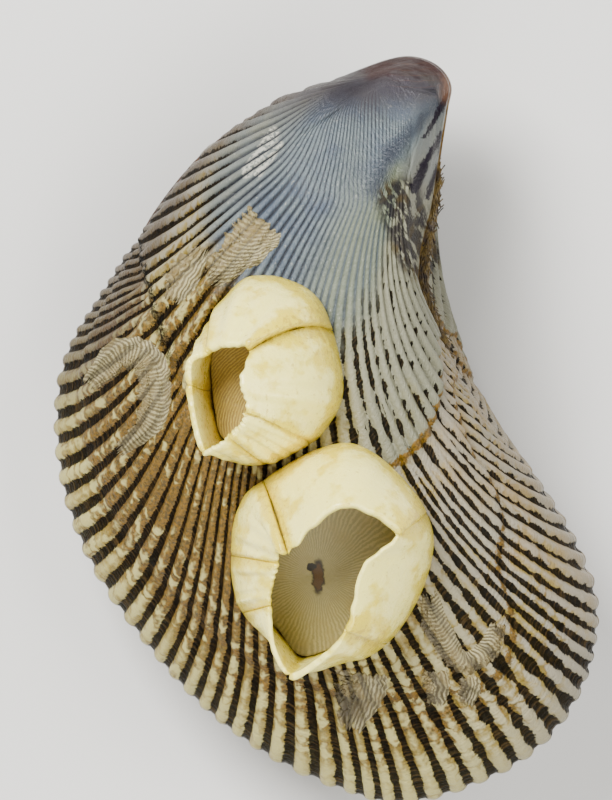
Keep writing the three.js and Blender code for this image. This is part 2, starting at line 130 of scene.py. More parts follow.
world = bpy.data.worlds.new("soft room")
world.use_nodes = True
room_inputs = world.node_tree.nodes["Background"].inputs
room_inputs["Color"].default_value = hex_colour(ROOM_COLOUR)
room_inputs["Strength"].default_value = ROOM_STRENGTH
bpy.context.scene.world = world
print("lamps", list(LAMPS))

# %% [markdown]
# A mussel shell grows outwards from its beak, and every rib on it is the track of one point of the
# growing edge. So the plan is written as the outline of the edge and one curve for each rib. A row gives
# a point of the outline, the heading at which ribs arrive there and how many ribs there are up to the
# next row. Smooth curves through the rows give every rib in between.

# %% Outline and ribs in plan
MARGIN = np.array([
    (3.7, 23.1, 130, 4), (0.3, 21.8, 180, 4), (-3.8, 20.0, 194, 5), (-7.6, 17.3, 202, 6),
    (-11.0, 13.4, 204, 6), (-13.8, 9.0, 198, 5), (-16.1, 5.0, 197, 3), (-16.8, 0.9, 199, 3),
    (-16.3, -3.8, 206, 3), (-14.6, -8.3, 218, 3), (-11.8, -12.5, 233, 4), (-8.1, -16.8, 246, 4),
    (-3.8, -20.1, 257, 3), (0.9, -22.3, 271, 3), (4.6, -23.2, 279, 3), (9.0, -22.1, 294, 3),
    (13.1, -19.8, 303, 3), (15.9, -15.9, 318, 4), (16.8, -11.4, 335, 3), (15.6, -7.4, 341, 4),
    (12.9, -3.0, 337, 4), (10.1, 0.4, 310, 4), (8.1, 3.8, 300, 5), (6.1, 8.1, 297, 2),
    (5.9, 10.9, 297, 2), (6.6, 14.1, 290, 1), (7.1, 17.5, 300, 1), (7.5, 20.0, 340, 1),
    (7.7, 21.5, 380, 1), (6.9, 22.7, 420, 1), (5.4, 23.3, 450, 2)])
RIBS = 100
DORSAL_RIB = 4
VENTRAL_RIB = 93
BEAK_DORSAL_END = np.array([3.6, 22.1])
BEAK_VENTRAL_END = np.array([7.0, 20.9])
BEAK_HALF_WIDTH = 0.35
FAN = {"from": 188, "spread": 54, "ease": 2.6, "flank": 24, "flank_ease": 24}
START_PULL = 0.58
ARRIVAL_PULL = 0.22
MARGIN_SAMPLES = 6001

stations = np.column_stack([MARGIN[:, :3], np.cumsum(MARGIN[:, 3]) - MARGIN[:, 3]])
one_turn = np.array([0, 0, 360, RIBS])


def through_rows(row, t):
    """A smooth curve through rows of numbers, at the positions t."""
    i = np.floor(t).astype(int)
    f = (t - i)[:, None]
    a, b, c, d = (row(i + step) for step in (-1, 0, 1, 2))
    bend = (2 * a - 5 * b + 4 * c - d) * f ** 2 + (3 * b - a - 3 * c + d) * f ** 3
    return 0.5 * (2 * b + (c - a) * f + bend)


def margin_row(i):
    round_trips, j = np.divmod(i, len(stations))
    return stations[j] + round_trips[:, None] * one_turn


def margin_at(t):
    return through_rows(margin_row, np.asarray(t, float))


fine_t = np.linspace(0, len(stations), MARGIN_SAMPLES)
fine_rib = margin_at(fine_t)[:, 3]


def margin_at_rib(rib):
    return margin_at(np.interp(np.mod(rib, RIBS), fine_rib, fine_t))


def unit(degrees):
    return np.column_stack([np.cos(np.radians(degrees)), np.sin(np.radians(degrees))])


def rib_curves(rib):
    """The four control points of each rib's curve in plan, and the rib's length."""
    rib = np.mod(np.asarray(rib, float), RIBS)
    margin = margin_at_rib(rib)
    behind = np.where(rib < DORSAL_RIB, rib + RIBS, rib)
    fan_share = (behind - DORSAL_RIB) / (VENTRAL_RIB - DORSAL_RIB)
    nose_share = 1 + (behind - VENTRAL_RIB) / (RIBS + DORSAL_RIB - VENTRAL_RIB)
    around = np.where(behind <= VENTRAL_RIB, fan_share, nose_share)
    centre = (BEAK_DORSAL_END + BEAK_VENTRAL_END) / 2
    along = BEAK_VENTRAL_END - centre
    across = np.array([along[1], -along[0]]) / np.hypot(*along) * BEAK_HALF_WIDTH
    turn = math.pi * (1 + around)[:, None]
    start = centre + along * np.cos(turn) - across * np.sin(turn)
    end = margin[:, :2]
    chord = end - start
    length = np.hypot(chord[:, 0], chord[:, 1])
    inside = np.clip(around, 0, 1)
    fan = FAN["from"] + FAN["spread"] * (1 - (1 - inside) ** FAN["ease"])
    fan = fan + FAN["flank"] * inside ** FAN["flank_ease"]
    leave = np.where((around <= 1)[:, None], unit(fan), chord / length[:, None])
    first = start + leave * (START_PULL * length)[:, None]
    second = end - unit(margin[:, 2]) * (ARRIVAL_PULL * length)[:, None]
    return (start, first, second, end), length


longest_rib = rib_curves(np.arange(RIBS))[1].max()
print("ribs", int(MARGIN[:, 3].sum()), "longest in mm", round(float(longest_rib), 1))

# %% [markdown]
# Seen from the side, each valve is a low dome over the plane in which the two valves meet. The height
# along a rib starts on the beak, swells to a crest and comes down steeply at the edge, and short ribs
# swell less than long ones. The left valve is the mirror image across that plane, worn flat where it
# rests on the floor.

# %% Heights of a valve
ROLL = math.tan(math.radians(8))
PITCH = math.tan(math.radians(2))
VALVE_GAP = 0.1
BYSSUS_GAPE = 0.35
HINGE_GAPE = 0.2
GAPE_FADE_RIBS = 2
BYSSUS_SPAN = (22.2, 25.7)
LIGAMENT_SPAN = (1.2, 4.2)
BEAK_RISE = 2.4
MAX_RISE = 8.0
RISE_RATE = 0.3
CREST_SKEW = 0.72
CREST_POWER = 0.9
HEIGHT_SAMPLES = 41


def ease(value, low, high):
    """Nought below low, one above high and smooth between."""
    share = np.clip((value - low) / (high - low), 0, 1)
    return share * share * (3 - 2 * share)


def gape(rib, span):
    first, last = margin_at(np.array(span, float))[:, 3]
    rib = np.mod(rib, RIBS)
    return ease(rib, first - GAPE_FADE_RIBS, first) * (1 - ease(rib, last, last + GAPE_FADE_RIBS))


def valve_gap(rib):
    return VALVE_GAP + BYSSUS_GAPE * gape(rib, BYSSUS_SPAN) + HINGE_GAPE * gape(rib, LIGAMENT_SPAN)


def plane_at(x, y):
    return MEETING_HEIGHT + x * ROLL + y * PITCH


def smooth_valve(rib, growth):
    """Points of the upper valve without its ribs: one row of points for each rib."""
    (start, first, second, end), length = rib_curves(rib)
    v = np.asarray(growth, float)[None, :, None]
    plan = sum(weight * point[:, None, :] for weight, point in (
        ((1 - v) ** 3, start), (3 * (1 - v) ** 2 * v, first), (3 * (1 - v) * v ** 2, second), (v ** 3, end)))
    v = v[..., 0]
    crest = MAX_RISE * np.tanh(RISE_RATE * length / MAX_RISE)[:, None]
    swell = np.sin(np.pi * np.clip(v, 0, 1) ** CREST_SKEW).clip(0) ** CREST_POWER
    rise = BEAK_RISE * np.sqrt(np.clip(1 - v * v, 0, 1)) + crest * swell
    x, y = plan[..., 0], plan[..., 1]
    return np.stack([x, y, plane_at(x, y) + valve_gap(rib)[:, None] + rise], -1)


plane_normal = np.array([-ROLL, -PITCH, 1]) / math.sqrt(ROLL ** 2 + PITCH ** 2 + 1)


def mirrored(points):
    """The image of points on the other side of the plane between the valves."""
    height = (points - np.array([0, 0, MEETING_HEIGHT])) @ plane_normal
    return points - 2 * height[..., None] * plane_normal


smooth_top = smooth_valve(np.arange(RIBS), np.linspace(0, 1, HEIGHT_SAMPLES))[..., 2].max()
print("top of the smooth valve in mm", round(float(smooth_top), 2))

# %% [markdown]
# The ribs follow a rule, so Geometry Nodes raise them on the smooth valve, and the same rule paints them
# later. A formula written with dozens of nodes is hard to read, so a small helper adds the nodes and
# lets a formula be written almost as arithmetic. It works in geometry trees and in shader trees alike.

# %% A helper that writes node trees


class Wiring:
    """Adds nodes to one tree. Any input may be a socket or a plain value."""

    def __init__(self, tree):
        self.tree = tree

    def feed(self, socket, value):
        if isinstance(value, bpy.types.NodeSocket):
            self.tree.links.new(value, socket)
        else:
            socket.default_value = value

    def node(self, kind, *values, **settings):
        made = self.tree.nodes.new(kind)
        for name, value in settings.items():
            setattr(made, name, value)
        for socket, value in zip(made.inputs, values):
            if value is not None:
                self.feed(socket, value)
        return made

    def math(self, operation, *values):
        return self.node("ShaderNodeMath", *values, operation=operation).outputs[0]

    def add(self, first, *others):
        for other in others:
            first = self.math("ADD", first, other)
        return first

    def times(self, first, *others):
        for other in others:
            first = self.math("MULTIPLY", first, other)
        return first

    def less(self, a, b):
        return self.math("SUBTRACT", a, b)

    def sway(self, noise, weight):
        """A noise between 0 and 1 as a push to both sides of nought."""
        return self.times(self.less(noise, 0.5), weight)

    def ease(self, value, low, high, start=0.0, end=1.0):
        made = self.node("ShaderNodeMapRange", value, low, high, start, end)
        made.interpolation_type = "SMOOTHSTEP"
        return made.outputs[0]

    def near(self, value, target, reach):
        """One where the value meets the target, falling to nought at the reach."""
        return self.ease(self.math("ABSOLUTE", self.less(value, target)), 0.0, reach, 1.0, 0.0)

    def curve(self, value, points):
        """A smooth curve through points, for values and results between 0 and 1."""
        made = self.node("ShaderNodeFloatCurve")
        line = made.mapping.curves[0]
        line.points[0].location = points[0]
        line.points[1].location = points[-1]
        for x, y in points[1:-1]:
            line.points.new(x, y)
        made.mapping.update()
        self.feed(made.inputs["Value"], value)
        return made.outputs[0]

    def vector(self, x=0.0, y=0.0, z=0.0):
        return self.node("ShaderNodeCombineXYZ", x, y, z).outputs[0]

    def split(self, vector):
        return self.node("ShaderNodeSeparateXYZ", vector).outputs

    def scaled(self, vector, factor):
        made = self.node("ShaderNodeVectorMath", vector, operation="SCALE")
        self.feed(made.inputs["Scale"], factor)
        return made.outputs[0]

    def noise(self, vector, scale, detail=2.0, roughness=0.5):
        made = self.node("ShaderNodeTexNoise", vector, None, scale, detail, roughness)
        return made.outputs[0]

    def random(self, number):
        made = self.node("ShaderNodeTexWhiteNoise", noise_dimensions="1D")
        self.feed(made.inputs["W"], number)
        return made.outputs[0]

    def mix(self, share, first, second, blend="MIX"):
        made = self.node("ShaderNodeMix", share, data_type="RGBA", blend_type=blend)
        self.feed(made.inputs[6], first)
        self.feed(made.inputs[7], second)
        return made.outputs[2]


print("node helper ready")

# %% [markdown]
# A rib is a rounded band between two grooves. Near the beak there are fifty broad ribs. Further out a new
# groove opens along the middle of each, so a hundred narrow ones reach the edge. Where that happens
# varies round the shell, and a little from rib to rib. The growing edge also stopped now and then, and
# each stop left a ring with a small step. These functions give the rule for ribs and rings once, and
# both the shape and the colours use them.

# %% The rule for ribs and growth rings
SPLIT_AT = [(0, 0.9), (0.15, 0.88), (0.23, 0.82), (0.285, 0.66), (0.325, 0.57), (0.36, 0.52),
            (0.45, 0.46), (0.58, 0.42), (0.63, 0.46), (0.67, 0.5), (0.743, 0.59), (0.77, 0.65),
            (0.825, 0.74), (0.9, 0.9), (1, 0.9)]
SPLIT_VARIES = 0.08
SPLIT_OPENS = (-0.02, 0.1)
FIRST_RING = [(0, 1), (0.2, 0.98), (0.228, 0.9), (0.285, 0.695), (0.325, 0.6), (0.343, 0.57), (0.5, 0.45),
              (0.67, 0.5), (0.743, 0.595), (0.77, 0.655), (0.825, 0.75), (0.88, 0.97), (1, 1)]
SECOND_RING = [(0, 1), (0.3, 0.93), (0.4325, 0.855), (0.485, 0.835), (0.5325, 0.8), (0.595, 0.805),
               (0.6225, 0.84), (0.655, 0.795), (0.68, 0.745), (0.7325, 0.765), (0.745, 0.725), (0.78, 0.74),
               (0.85, 0.97), (1, 1)]


def rib_rule(wiring, rib, growth):
    """Distance from the nearest groove, 0 in it to 1 on the crest, and how far the ribs have split."""
    from_even = wiring.math("PINGPONG", rib, 1.0)
    from_odd = wiring.less(1.0, from_even)
    pair = wiring.math("FLOOR", wiring.times(rib, 0.5))
    varied = wiring.sway(wiring.random(pair), SPLIT_VARIES)
    split_at = wiring.add(wiring.curve(wiring.times(rib, 1 / RIBS), SPLIT_AT), varied)
    split = wiring.ease(wiring.less(growth, split_at), *SPLIT_OPENS)
    new_groove = wiring.add(from_odd, wiring.less(1.0, split))
    half_width = wiring.less(1.0, wiring.times(split, 0.5))
    distance = wiring.math("DIVIDE", wiring.math("MINIMUM", from_even, new_groove), half_width)
    return distance, split


def past_ring(wiring, rib, growth, ring):
    """How far a point lies outside a growth ring, as a share of the rib."""
    return wiring.less(growth, wiring.curve(wiring.times(rib, 1 / RIBS), ring))


print("rings", len(FIRST_RING), len(SECOND_RING), "points")

# %% [markdown]
# The tree reads what each point of the valve knows about itself: its rib number, how far out it lies, how
# far apart ribs are there, and the direction in which a rib stands. It raises rounded ribs with flat
# grooves, beads them a little along their length, and cuts the steps of the growth rings.

# %% Geometry Nodes that raise the ribs
RIB_SIZES = {
    "Height to spacing": 0.2, "Tallest": 0.36, "Groove share": 0.26, "Bead": 0.09, "Ring step": 0.22}
GROOVE_WIDENS = (0.2, 0.75)
RIB_ROUNDNESS = 2.2
RIBS_BEGIN = (0.0, 0.1)
BEAD_NOISE = (1.1, 3.0)
BEADS_BEGIN = (0.3, 0.6)
BEAD_IN_GROOVE = 0.6
RING_FRONT = (-0.008, 0.006)
RING_BACK = (0.01, 0.09)


def named(wiring, name, kind="FLOAT"):
    made = wiring.node("GeometryNodeInputNamedAttribute", data_type=kind)
    made.inputs["Name"].default_value = name
    return made.outputs["Attribute"]


def new_tree(name, sizes):
    """A modifier tree with a mesh input, the named sizes and a material, and its group nodes."""
    tree = bpy.data.node_groups.new(name, "GeometryNodeTree")
    tree.is_modifier = True
    tree.interface.new_socket("Mesh", in_out="INPUT", socket_type="NodeSocketGeometry")
    for size_name, value in sizes.items():
        kind = "NodeSocketInt" if isinstance(value, int) else "NodeSocketFloat"
        socket = tree.interface.new_socket(size_name, in_out="INPUT", socket_type=kind)
        socket.default_value = value
    tree.interface.new_socket("Finish", in_out="INPUT", socket_type="NodeSocketMaterial")
    tree.interface.new_socket("Mesh", in_out="OUTPUT", socket_type="NodeSocketGeometry")
    wiring = Wiring(tree)
    return wiring, wiring.node("NodeGroupInput").outputs


def close_tree(wiring, mesh, finish):
    """Ends a tree: copies made real, the finish set, and the result handed out."""
    real = wiring.node("GeometryNodeRealizeInstances", mesh).outputs[0]
    finished = wiring.node("GeometryNodeSetMaterial", real)
    wiring.feed(finished.inputs["Material"], finish)
    wiring.node("NodeGroupOutput", finished.outputs[0])
    return wiring.tree


def bake_tree(piece, tree, finish, **sizes):
    """Runs a tree on a piece and keeps the result as the piece's plain mesh."""
    modifier = piece.modifiers.new(tree.name, "NODES")
    modifier.node_group = tree
    for socket in tree.interface.items_tree:
        if socket.in_out == "INPUT" and socket.name in sizes:
            modifier[socket.identifier] = sizes[socket.name]
        if socket.in_out == "INPUT" and socket.name == "Finish":
            modifier[socket.identifier] = finish
    depsgraph = bpy.context.evaluated_depsgraph_get()
    solid = bpy.data.meshes.new_from_object(
        piece.evaluated_get(depsgraph), preserve_all_data_layers=True, depsgraph=depsgraph)
    piece.modifiers.clear()
    piece.data = solid
    solid.shade_smooth()
    print(piece.name, "triangles", sum(len(face.vertices) - 2 for face in solid.polygons))
    return piece


def rib_tree():
    """Ribs, beads and ring steps, raised along the outward direction of every point."""
    wiring, inputs = new_tree("valve ribs", RIB_SIZES)
    rib, growth, spacing = (named(wiring, name) for name in ("rib", "growth", "spacing"))
    distance, split = rib_rule(wiring, rib, growth)
    groove = wiring.times(inputs["Groove share"], wiring.ease(growth, *GROOVE_WIDENS))
    flat = wiring.math("MAXIMUM", 0.0, wiring.less(distance, groove))
    share = wiring.math("MINIMUM", 1.0, wiring.math("DIVIDE", flat, wiring.less(1.0, groove)))
    rounded = wiring.less(1.0, wiring.math("POWER", wiring.less(1.0, share), RIB_ROUNDNESS))
    band = wiring.times(spacing, wiring.less(2.0, split))
    height = wiring.math("MINIMUM", inputs["Tallest"], wiring.times(inputs["Height to spacing"], band))
    height = wiring.times(height, wiring.ease(growth, *RIBS_BEGIN))

    place = wiring.node("GeometryNodeInputPosition").outputs[0]
    beads = wiring.sway(wiring.noise(wiring.scaled(place, 1 / MM), *BEAD_NOISE), inputs["Bead"])
    beads = wiring.times(beads, wiring.ease(growth, *BEADS_BEGIN))
    lift = wiring.add(
        wiring.times(height, rounded), wiring.times(beads, wiring.add(rounded, BEAD_IN_GROOVE)))
    for ring in (FIRST_RING, SECOND_RING):
        past = past_ring(wiring, rib, growth, ring)
        step = wiring.times(wiring.ease(past, *RING_FRONT), wiring.ease(past, *RING_BACK, 1.0, 0.0))
        lift = wiring.less(lift, wiring.times(inputs["Ring step"], step))
    lift = wiring.times(lift, named(wiring, "raise"), MM)
    moved = wiring.node("GeometryNodeSetPosition", inputs["Mesh"])
    wiring.feed(moved.inputs["Offset"], wiring.scaled(named(wiring, "outward", "FLOAT_VECTOR"), lift))
    return close_tree(wiring, moved.outputs[0], inputs["Finish"])


valve_ribs = rib_tree()
print(valve_ribs.name, len(valve_ribs.nodes), "nodes")

# %% [markdown]
# The smooth valve is a grid: its columns run along the ribs, eight to a rib, and its rows are growth
# lines. A modifier could thicken it, but the real inside has fewer features than the outside, so the lip
# and the hollow get a few rows of their own. They lie a wall's thickness under the smooth dome.

# %% Smooth valves as grids
COLUMNS_PER_RIB = 8
GROWTH_ROWS = 106
ROW_EASE = 1.25
LIP = 1.1
MIN_SLANT = 0.3
NOSE_FILL = 5.0
NOSE = (17.0, 21.0)
CAVITY_CENTRE = np.array([-1.6, -3.1])
CAVITY_ROWS = (0.82, 0.55, 0.25)
WALL = 1.2
STEEPEST_WALL = 2.2
SLOPE_SPAN = 0.2
MIN_CAVITY = 0.2
SLOPE_STEP = 0.01
ABOVE_ALL = 200

columns = np.arange(RIBS * COLUMNS_PER_RIB) / COLUMNS_PER_RIB
growth_rows = 1 - (1 - np.linspace(0, 1, GROWTH_ROWS)) ** ROW_EASE
top_grid = smooth_valve(columns, growth_rows)


def grid_faces(count, rows, first=0):
    """Quads of a grid that closes round its columns. Point number is row * count + column."""
    faces = []
    for row in range(rows - 1):
        a = first + row * count
        faces += [(a + i, a + count + i, a + count + (i + 1) % count, a + (i + 1) % count)
                  for i in range(count)]
    return faces


def by_rows(grid):
    return grid.transpose(1, 0, 2).reshape(-1, 3)


def height_finder(points, faces):
    """A function that gives the highest surface over each point of the plan, in millimetres."""
    surface = BVHTree.FromPolygons(points.tolist(), faces)

    def find(x, y):
        flat = []
        for px, py in zip(np.ravel(x), np.ravel(y)):
            hit = surface.ray_cast(Vector((px, py, ABOVE_ALL)), Vector((0, 0, -1)))[0]
            flat.append(hit.z if hit else np.nan)
        return np.array(flat).reshape(np.shape(x))

    return find


cap = [(len(columns) * GROWTH_ROWS, i, (i + 1) % len(columns)) for i in range(len(columns))]
smooth_points = np.vstack([by_rows(top_grid), top_grid[:, 0].mean(0)])
smooth_height = height_finder(smooth_points, grid_faces(len(columns), GROWTH_ROWS) + cap)


def valve_inside():
    """Rows of the lip and the hollow, from the edge to the middle, for the upper valve."""
    margin = margin_at_rib(columns)
    ray = margin[:, :2] - CAVITY_CENTRE
    reach = np.hypot(ray[:, 0], ray[:, 1])
    slant = np.abs(np.sum(ray / reach[:, None] * unit(margin[:, 2]), 1)).clip(MIN_SLANT)
    share = 1 - (LIP / slant + NOSE_FILL * ease(margin[:, 1], *NOSE)) / reach
    edge = CAVITY_CENTRE + ray * share[:, None]
    gap = valve_gap(columns)
    rows = [np.column_stack([edge, plane_at(edge[:, 0], edge[:, 1]) + gap])]
    for row_share in CAVITY_ROWS:
        plan = CAVITY_CENTRE + (edge - CAVITY_CENTRE) * row_share
        x, y = plan[:, 0], plan[:, 1]
        top = smooth_height(x, y)
        slope_x = (smooth_height(x + SLOPE_SPAN, y) - top) / SLOPE_SPAN - ROLL
        slope_y = (smooth_height(x, y + SLOPE_SPAN) - top) / SLOPE_SPAN - PITCH
        wall = WALL * np.sqrt(1 + slope_x ** 2 + slope_y ** 2).clip(None, STEEPEST_WALL)
        lowest = plane_at(x, y) + gap + MIN_CAVITY
        rows.append(np.column_stack([x, y, np.fmax(lowest, top - wall)]))
    return rows


def outward_and_spacing():
    """The direction in which ribs stand and the distance between ribs, over the whole grid."""
    inside = growth_rows.clip(2 * SLOPE_STEP, 1 - 1.5 * SLOPE_STEP)
    around = smooth_valve(columns + 0.5, inside) - smooth_valve(columns - 0.5, inside)
    along = smooth_valve(columns, inside + SLOPE_STEP) - smooth_valve(columns, inside - SLOPE_STEP)
    outward = np.cross(along, around)
    return outward / np.linalg.norm(outward, axis=2, keepdims=True), np.linalg.norm(around, axis=2)


def point_values(mesh, name, values, kind="FLOAT"):
    """Stores one value, or one vector, for every point of a mesh."""
    layer = mesh.attributes.new(name, kind, "POINT")
    field = "vector" if kind == "FLOAT_VECTOR" else "value"
    layer.data.foreach_set(field, np.ravel(values).astype(np.float32))


def pattern_map(mesh, corner_values):
    layer = mesh.uv_layers.new(name="pattern")
    layer.data.foreach_set("uv", np.ravel(corner_values).astype(np.float32))


def corner_points(mesh):
    """The number of the point at every corner of every face."""
    numbers = np.empty(len(mesh.loops), np.int64)
    mesh.loops.foreach_get("vertex_index", numbers)
    return numbers


print("grid", top_grid.shape[:2])

# %% [markdown]
# Two places need more than the plain grid. Where the fan of ribs meets the nose of the beak, the dome has
# a crease, so heights there are evened out over a small disc. Beside the keel the real ribs come almost
# straight down, so a point there takes the rib number of a place nearer the foot of the keel. Moving
# only the numbers bends the ribs and their colours together and leaves the shape of the dome alone.

# %% The beak and the keel
BEAK_MIDDLE = (5.3, 21.6)
BEAK_ROUNDED = (3.0, 5.6)
ROUNDING_RINGS = (0.495, 1.005, 1.5)
ROUNDING_STEPS = 10
EDGE_KEPT = (0.1, 1.4)
STEEP_FROM = (-3.5, 4.0)
STEEP_RIBS = ((8, 26), (86, 93))
KEEL_FOOT = 13.4
KEEL_FADE = 2.0
TINY = 1e-9


def rounded_beak(points):
    """Heights near the beak, evened out so that the nose runs into the fan without a crease."""
    away = np.hypot(points[:, 0] - BEAK_MIDDLE[0], points[:, 1] - BEAK_MIDDLE[1])
    near = away < BEAK_ROUNDED[1]
    x, y = points[near, 0], points[near, 1]
    ring = np.linspace(0, 2 * math.pi, ROUNDING_STEPS, endpoint=False)
    samples = [smooth_height(x, y)]
    for reach in ROUNDING_RINGS:
        samples += [smooth_height(x + reach * math.cos(a), y + reach * math.sin(a)) for a in ring]
    lowest = plane_at(x, y) + VALVE_GAP
    samples = [np.where(np.isnan(sample), lowest, sample) for sample in samples]
    share = (1 - ease(away[near], *BEAK_ROUNDED)) * ease(samples[0] - lowest, *EDGE_KEPT)
    points = points.copy()
    points[near, 2] += (np.mean(samples, axis=0) - points[near, 2]) * share
    return points


def off_line(place, start, end):
    """Distance of a place of the plan from the line through two others."""
    line, to_place = end - start, place - start
    return abs(line[0] * to_place[1] - line[1] * to_place[0]) / max(np.hypot(*line), TINY)


def rib_finder(points):
    """A function that gives the grid's own rib number at a place of the plan."""
    count = len(columns)
    flat = points * np.array([1, 1, 0])
    faces = grid_faces(count, GROWTH_ROWS)
    surface = BVHTree.FromPolygons(flat.tolist(), faces)

    def find(x, y):
        face = surface.find_nearest(Vector((x, y, 0)))[2]
        a, b, c, d = (flat[point, :2] for point in faces[face])
        place = np.array([x, y])
        first, second = off_line(place, a, b), off_line(place, d, c)
        return (face % count + first / max(first + second, TINY)) / COLUMNS_PER_RIB

    return find


def steeper_ribs(points, native):
    """Rib numbers for the relief and the colours: beside the keel, ribs come straight down the plan."""
    x, y = points[:, 0], points[:, 1]
    share = ease(x, *STEEP_FROM) * ease(y, KEEL_FOOT, KEEL_FOOT + KEEL_FADE)
    share = share * ease(native, *STEEP_RIBS[0]) * (1 - ease(native, *STEEP_RIBS[1]))
    find = rib_finder(points)
    numbers = native.copy()
    for number in np.flatnonzero(share > 0):
        numbers[number] = find(x[number], y[number] - share[number] * (y[number] - KEEL_FOOT))
    return numbers


print("beak rounded over", BEAK_ROUNDED[1], "mm")

# %% [markdown]
# A valve is put together from the rounded dome, the lip, the hollow and one point that closes each end.
# Each point keeps its rib number, its growth and the direction in which ribs stand, as named values for
# the tree. The left valve is the same mesh mirrored, so its faces are turned round to point outwards.

# %% Closed valves
FIRST_RIBS = (2, 8)
BARE_RIBS = (83, 92)
WEAR_FADE = 1.2
TUCK = 0.55
TUCK_ALONG = (13, 17)
TUCK_DEEP = (0.3, 2.5)
TUCK_ACROSS = (3, 6)


def map_ribs(valve, faces, rib_numbers, growth):
    """Maps every corner to its rib and growth, unbroken where the last rib meets the first."""
    corners = corner_points(valve.data)
    u = rib_numbers[corners]
    face_of = np.repeat(np.arange(len(faces)), [len(face) for face in faces])
    highest = np.zeros(len(faces))
    np.maximum.at(highest, face_of, u)
    u = np.where((highest[face_of] > RIBS - 1) & (u < 1), u + RIBS, u)
    pattern_map(valve.data, np.column_stack([u / RIBS, growth[corners]]))


def left_side(points, outward, raised):
    """The mirror image of a valve, tucked in under the beak and worn flat where it rests."""
    depth = points[:, 2] - plane_at(points[:, 0], points[:, 1])
    points = mirrored(points)
    tuck = ease(points[:, 1], *TUCK_ALONG) * ease(depth, *TUCK_DEEP) * ease(points[:, 0], *TUCK_ACROSS)
    points[:, 0] -= TUCK * tuck
    outward = outward - 2 * (outward @ plane_normal)[:, None] * plane_normal
    raised = raised * ease(points[:len(raised), 2], 0, WEAR_FADE)
    points[:, 2] = points[:, 2].clip(0)
    return points, outward, raised


def build_valve(name, flipped):
    """One smooth closed valve that knows its ribs. Flipped gives the left one."""
    count = len(columns)
    rounded = rounded_beak(smooth_points)
    outer, middle_beak = rounded[:-1], rounded[-1]
    outward, spacing = outward_and_spacing()
    outward = by_rows(outward)
    raised = np.tile(ease(columns, *FIRST_RIBS) * (1 - ease(columns, *BARE_RIBS)), GROWTH_ROWS)
    middle_cavity = np.append(CAVITY_CENTRE, smooth_height(*CAVITY_CENTRE[:, None])[0] - WALL)
    points = np.vstack([outer, np.concatenate(valve_inside()), middle_beak, middle_cavity])
    if flipped:
        points, outward, raised = left_side(points, outward, raised)
    rows = GROWTH_ROWS + 1 + len(CAVITY_ROWS)
    last = (rows - 1) * count
    faces = grid_faces(count, rows)
    faces += [(len(points) - 2, i, (i + 1) % count) for i in range(count)]
    faces += [(last + i, len(points) - 1, last + (i + 1) % count) for i in range(count)]
    if flipped:
        faces = [face[::-1] for face in faces]
    valve = new_object(name, points, faces)

    spare = len(points) - len(outer)
    rib_numbers = np.append(np.tile(columns, rows), [0, 0])
    rib_numbers[:len(outer)] = steeper_ribs(outer, rib_numbers[:len(outer)])
    growth = np.repeat(np.concatenate([growth_rows, np.ones(rows - GROWTH_ROWS)]), count)
    growth = np.append(growth, [0, 1])
    point_values(valve.data, "rib", rib_numbers)
    point_values(valve.data, "growth", growth)
    point_values(valve.data, "spacing", np.append(spacing.T.ravel(), np.zeros(spare)))
    point_values(valve.data, "raise", np.append(raised, np.zeros(spare)))
    point_values(valve.data, "outward", np.vstack([outward, np.zeros((spare, 3))]), "FLOAT_VECTOR")
    map_ribs(valve, faces, rib_numbers, growth)
    return valve


print("valve rows", GROWTH_ROWS + 1 + len(CAVITY_ROWS), "columns", len(columns))

# %% [markdown]
# The colours of a valve follow its ribs too. A map on the mesh holds the rib number and the growth of
# every point, so the finish can ask the same rule where the grooves are. The next cells write it in
# steps. First come the helpers that every finish uses: a fresh material, the map, a bump, and a patch
# of colour along a line of the plan.

# %% Helpers for finishes


def start_finish(name):
    """A new material with its wiring, its shader and the place on the object in millimetres."""
    material = bpy.data.materials.new(name)
    material.use_nodes = True
    wiring = Wiring(material.node_tree)
    shader = material.node_tree.nodes["Principled BSDF"]
    place = wiring.scaled(wiring.node("ShaderNodeTexCoord").outputs["Object"], 1 / MM)
    return material, wiring, shader, place


def pattern_of(wiring):
    made = wiring.node("ShaderNodeUVMap", uv_map="pattern")
    return wiring.split(made.outputs[0])[:2]


def add_bump(wiring, shader, height, strength, depth):
    made = wiring.node("ShaderNodeBump")
    made.inputs["Strength"].default_value = strength
    made.inputs["Distance"].default_value = depth * MM
    wiring.feed(made.inputs["Height"], height)
    wiring.feed(shader.inputs["Normal"], made.outputs[0])


def patch(wiring, plan, start, end, reach):
    """One along a line of the plan, falling to nought at the reach."""
    line = np.array(end) - np.array(start)
    pull = line / max(float(line @ line), TINY)
    away = wiring.node("ShaderNodeVectorMath", plan, (*start, 0), operation="SUBTRACT").outputs[0]
    share = wiring.node("ShaderNodeVectorMath", away, (*pull, 0), operation="DOT_PRODUCT").outputs["Value"]
    share = wiring.math("MINIMUM", 1.0, wiring.math("MAXIMUM", 0.0, share))
    nearest = wiring.node("ShaderNodeCombineXYZ", float(line[0]), float(line[1]), 0.0).outputs[0]
    nearest = wiring.scaled(nearest, share)
    distance = wiring.node("ShaderNodeVectorMath", away, nearest, operation="DISTANCE").outputs["Value"]
    return wiring.ease(distance, reach, 0.0)


print("finish helpers ready")

# %% [markdown]
# Every colour of the shell asks the same questions at a point: which rib it is on, how far out it has
# grown, how far it lies from a groove, and what a few noises of different sizes say there. They are
# gathered once. Zones say where round the shell something begins and ends, as shares of the way round.

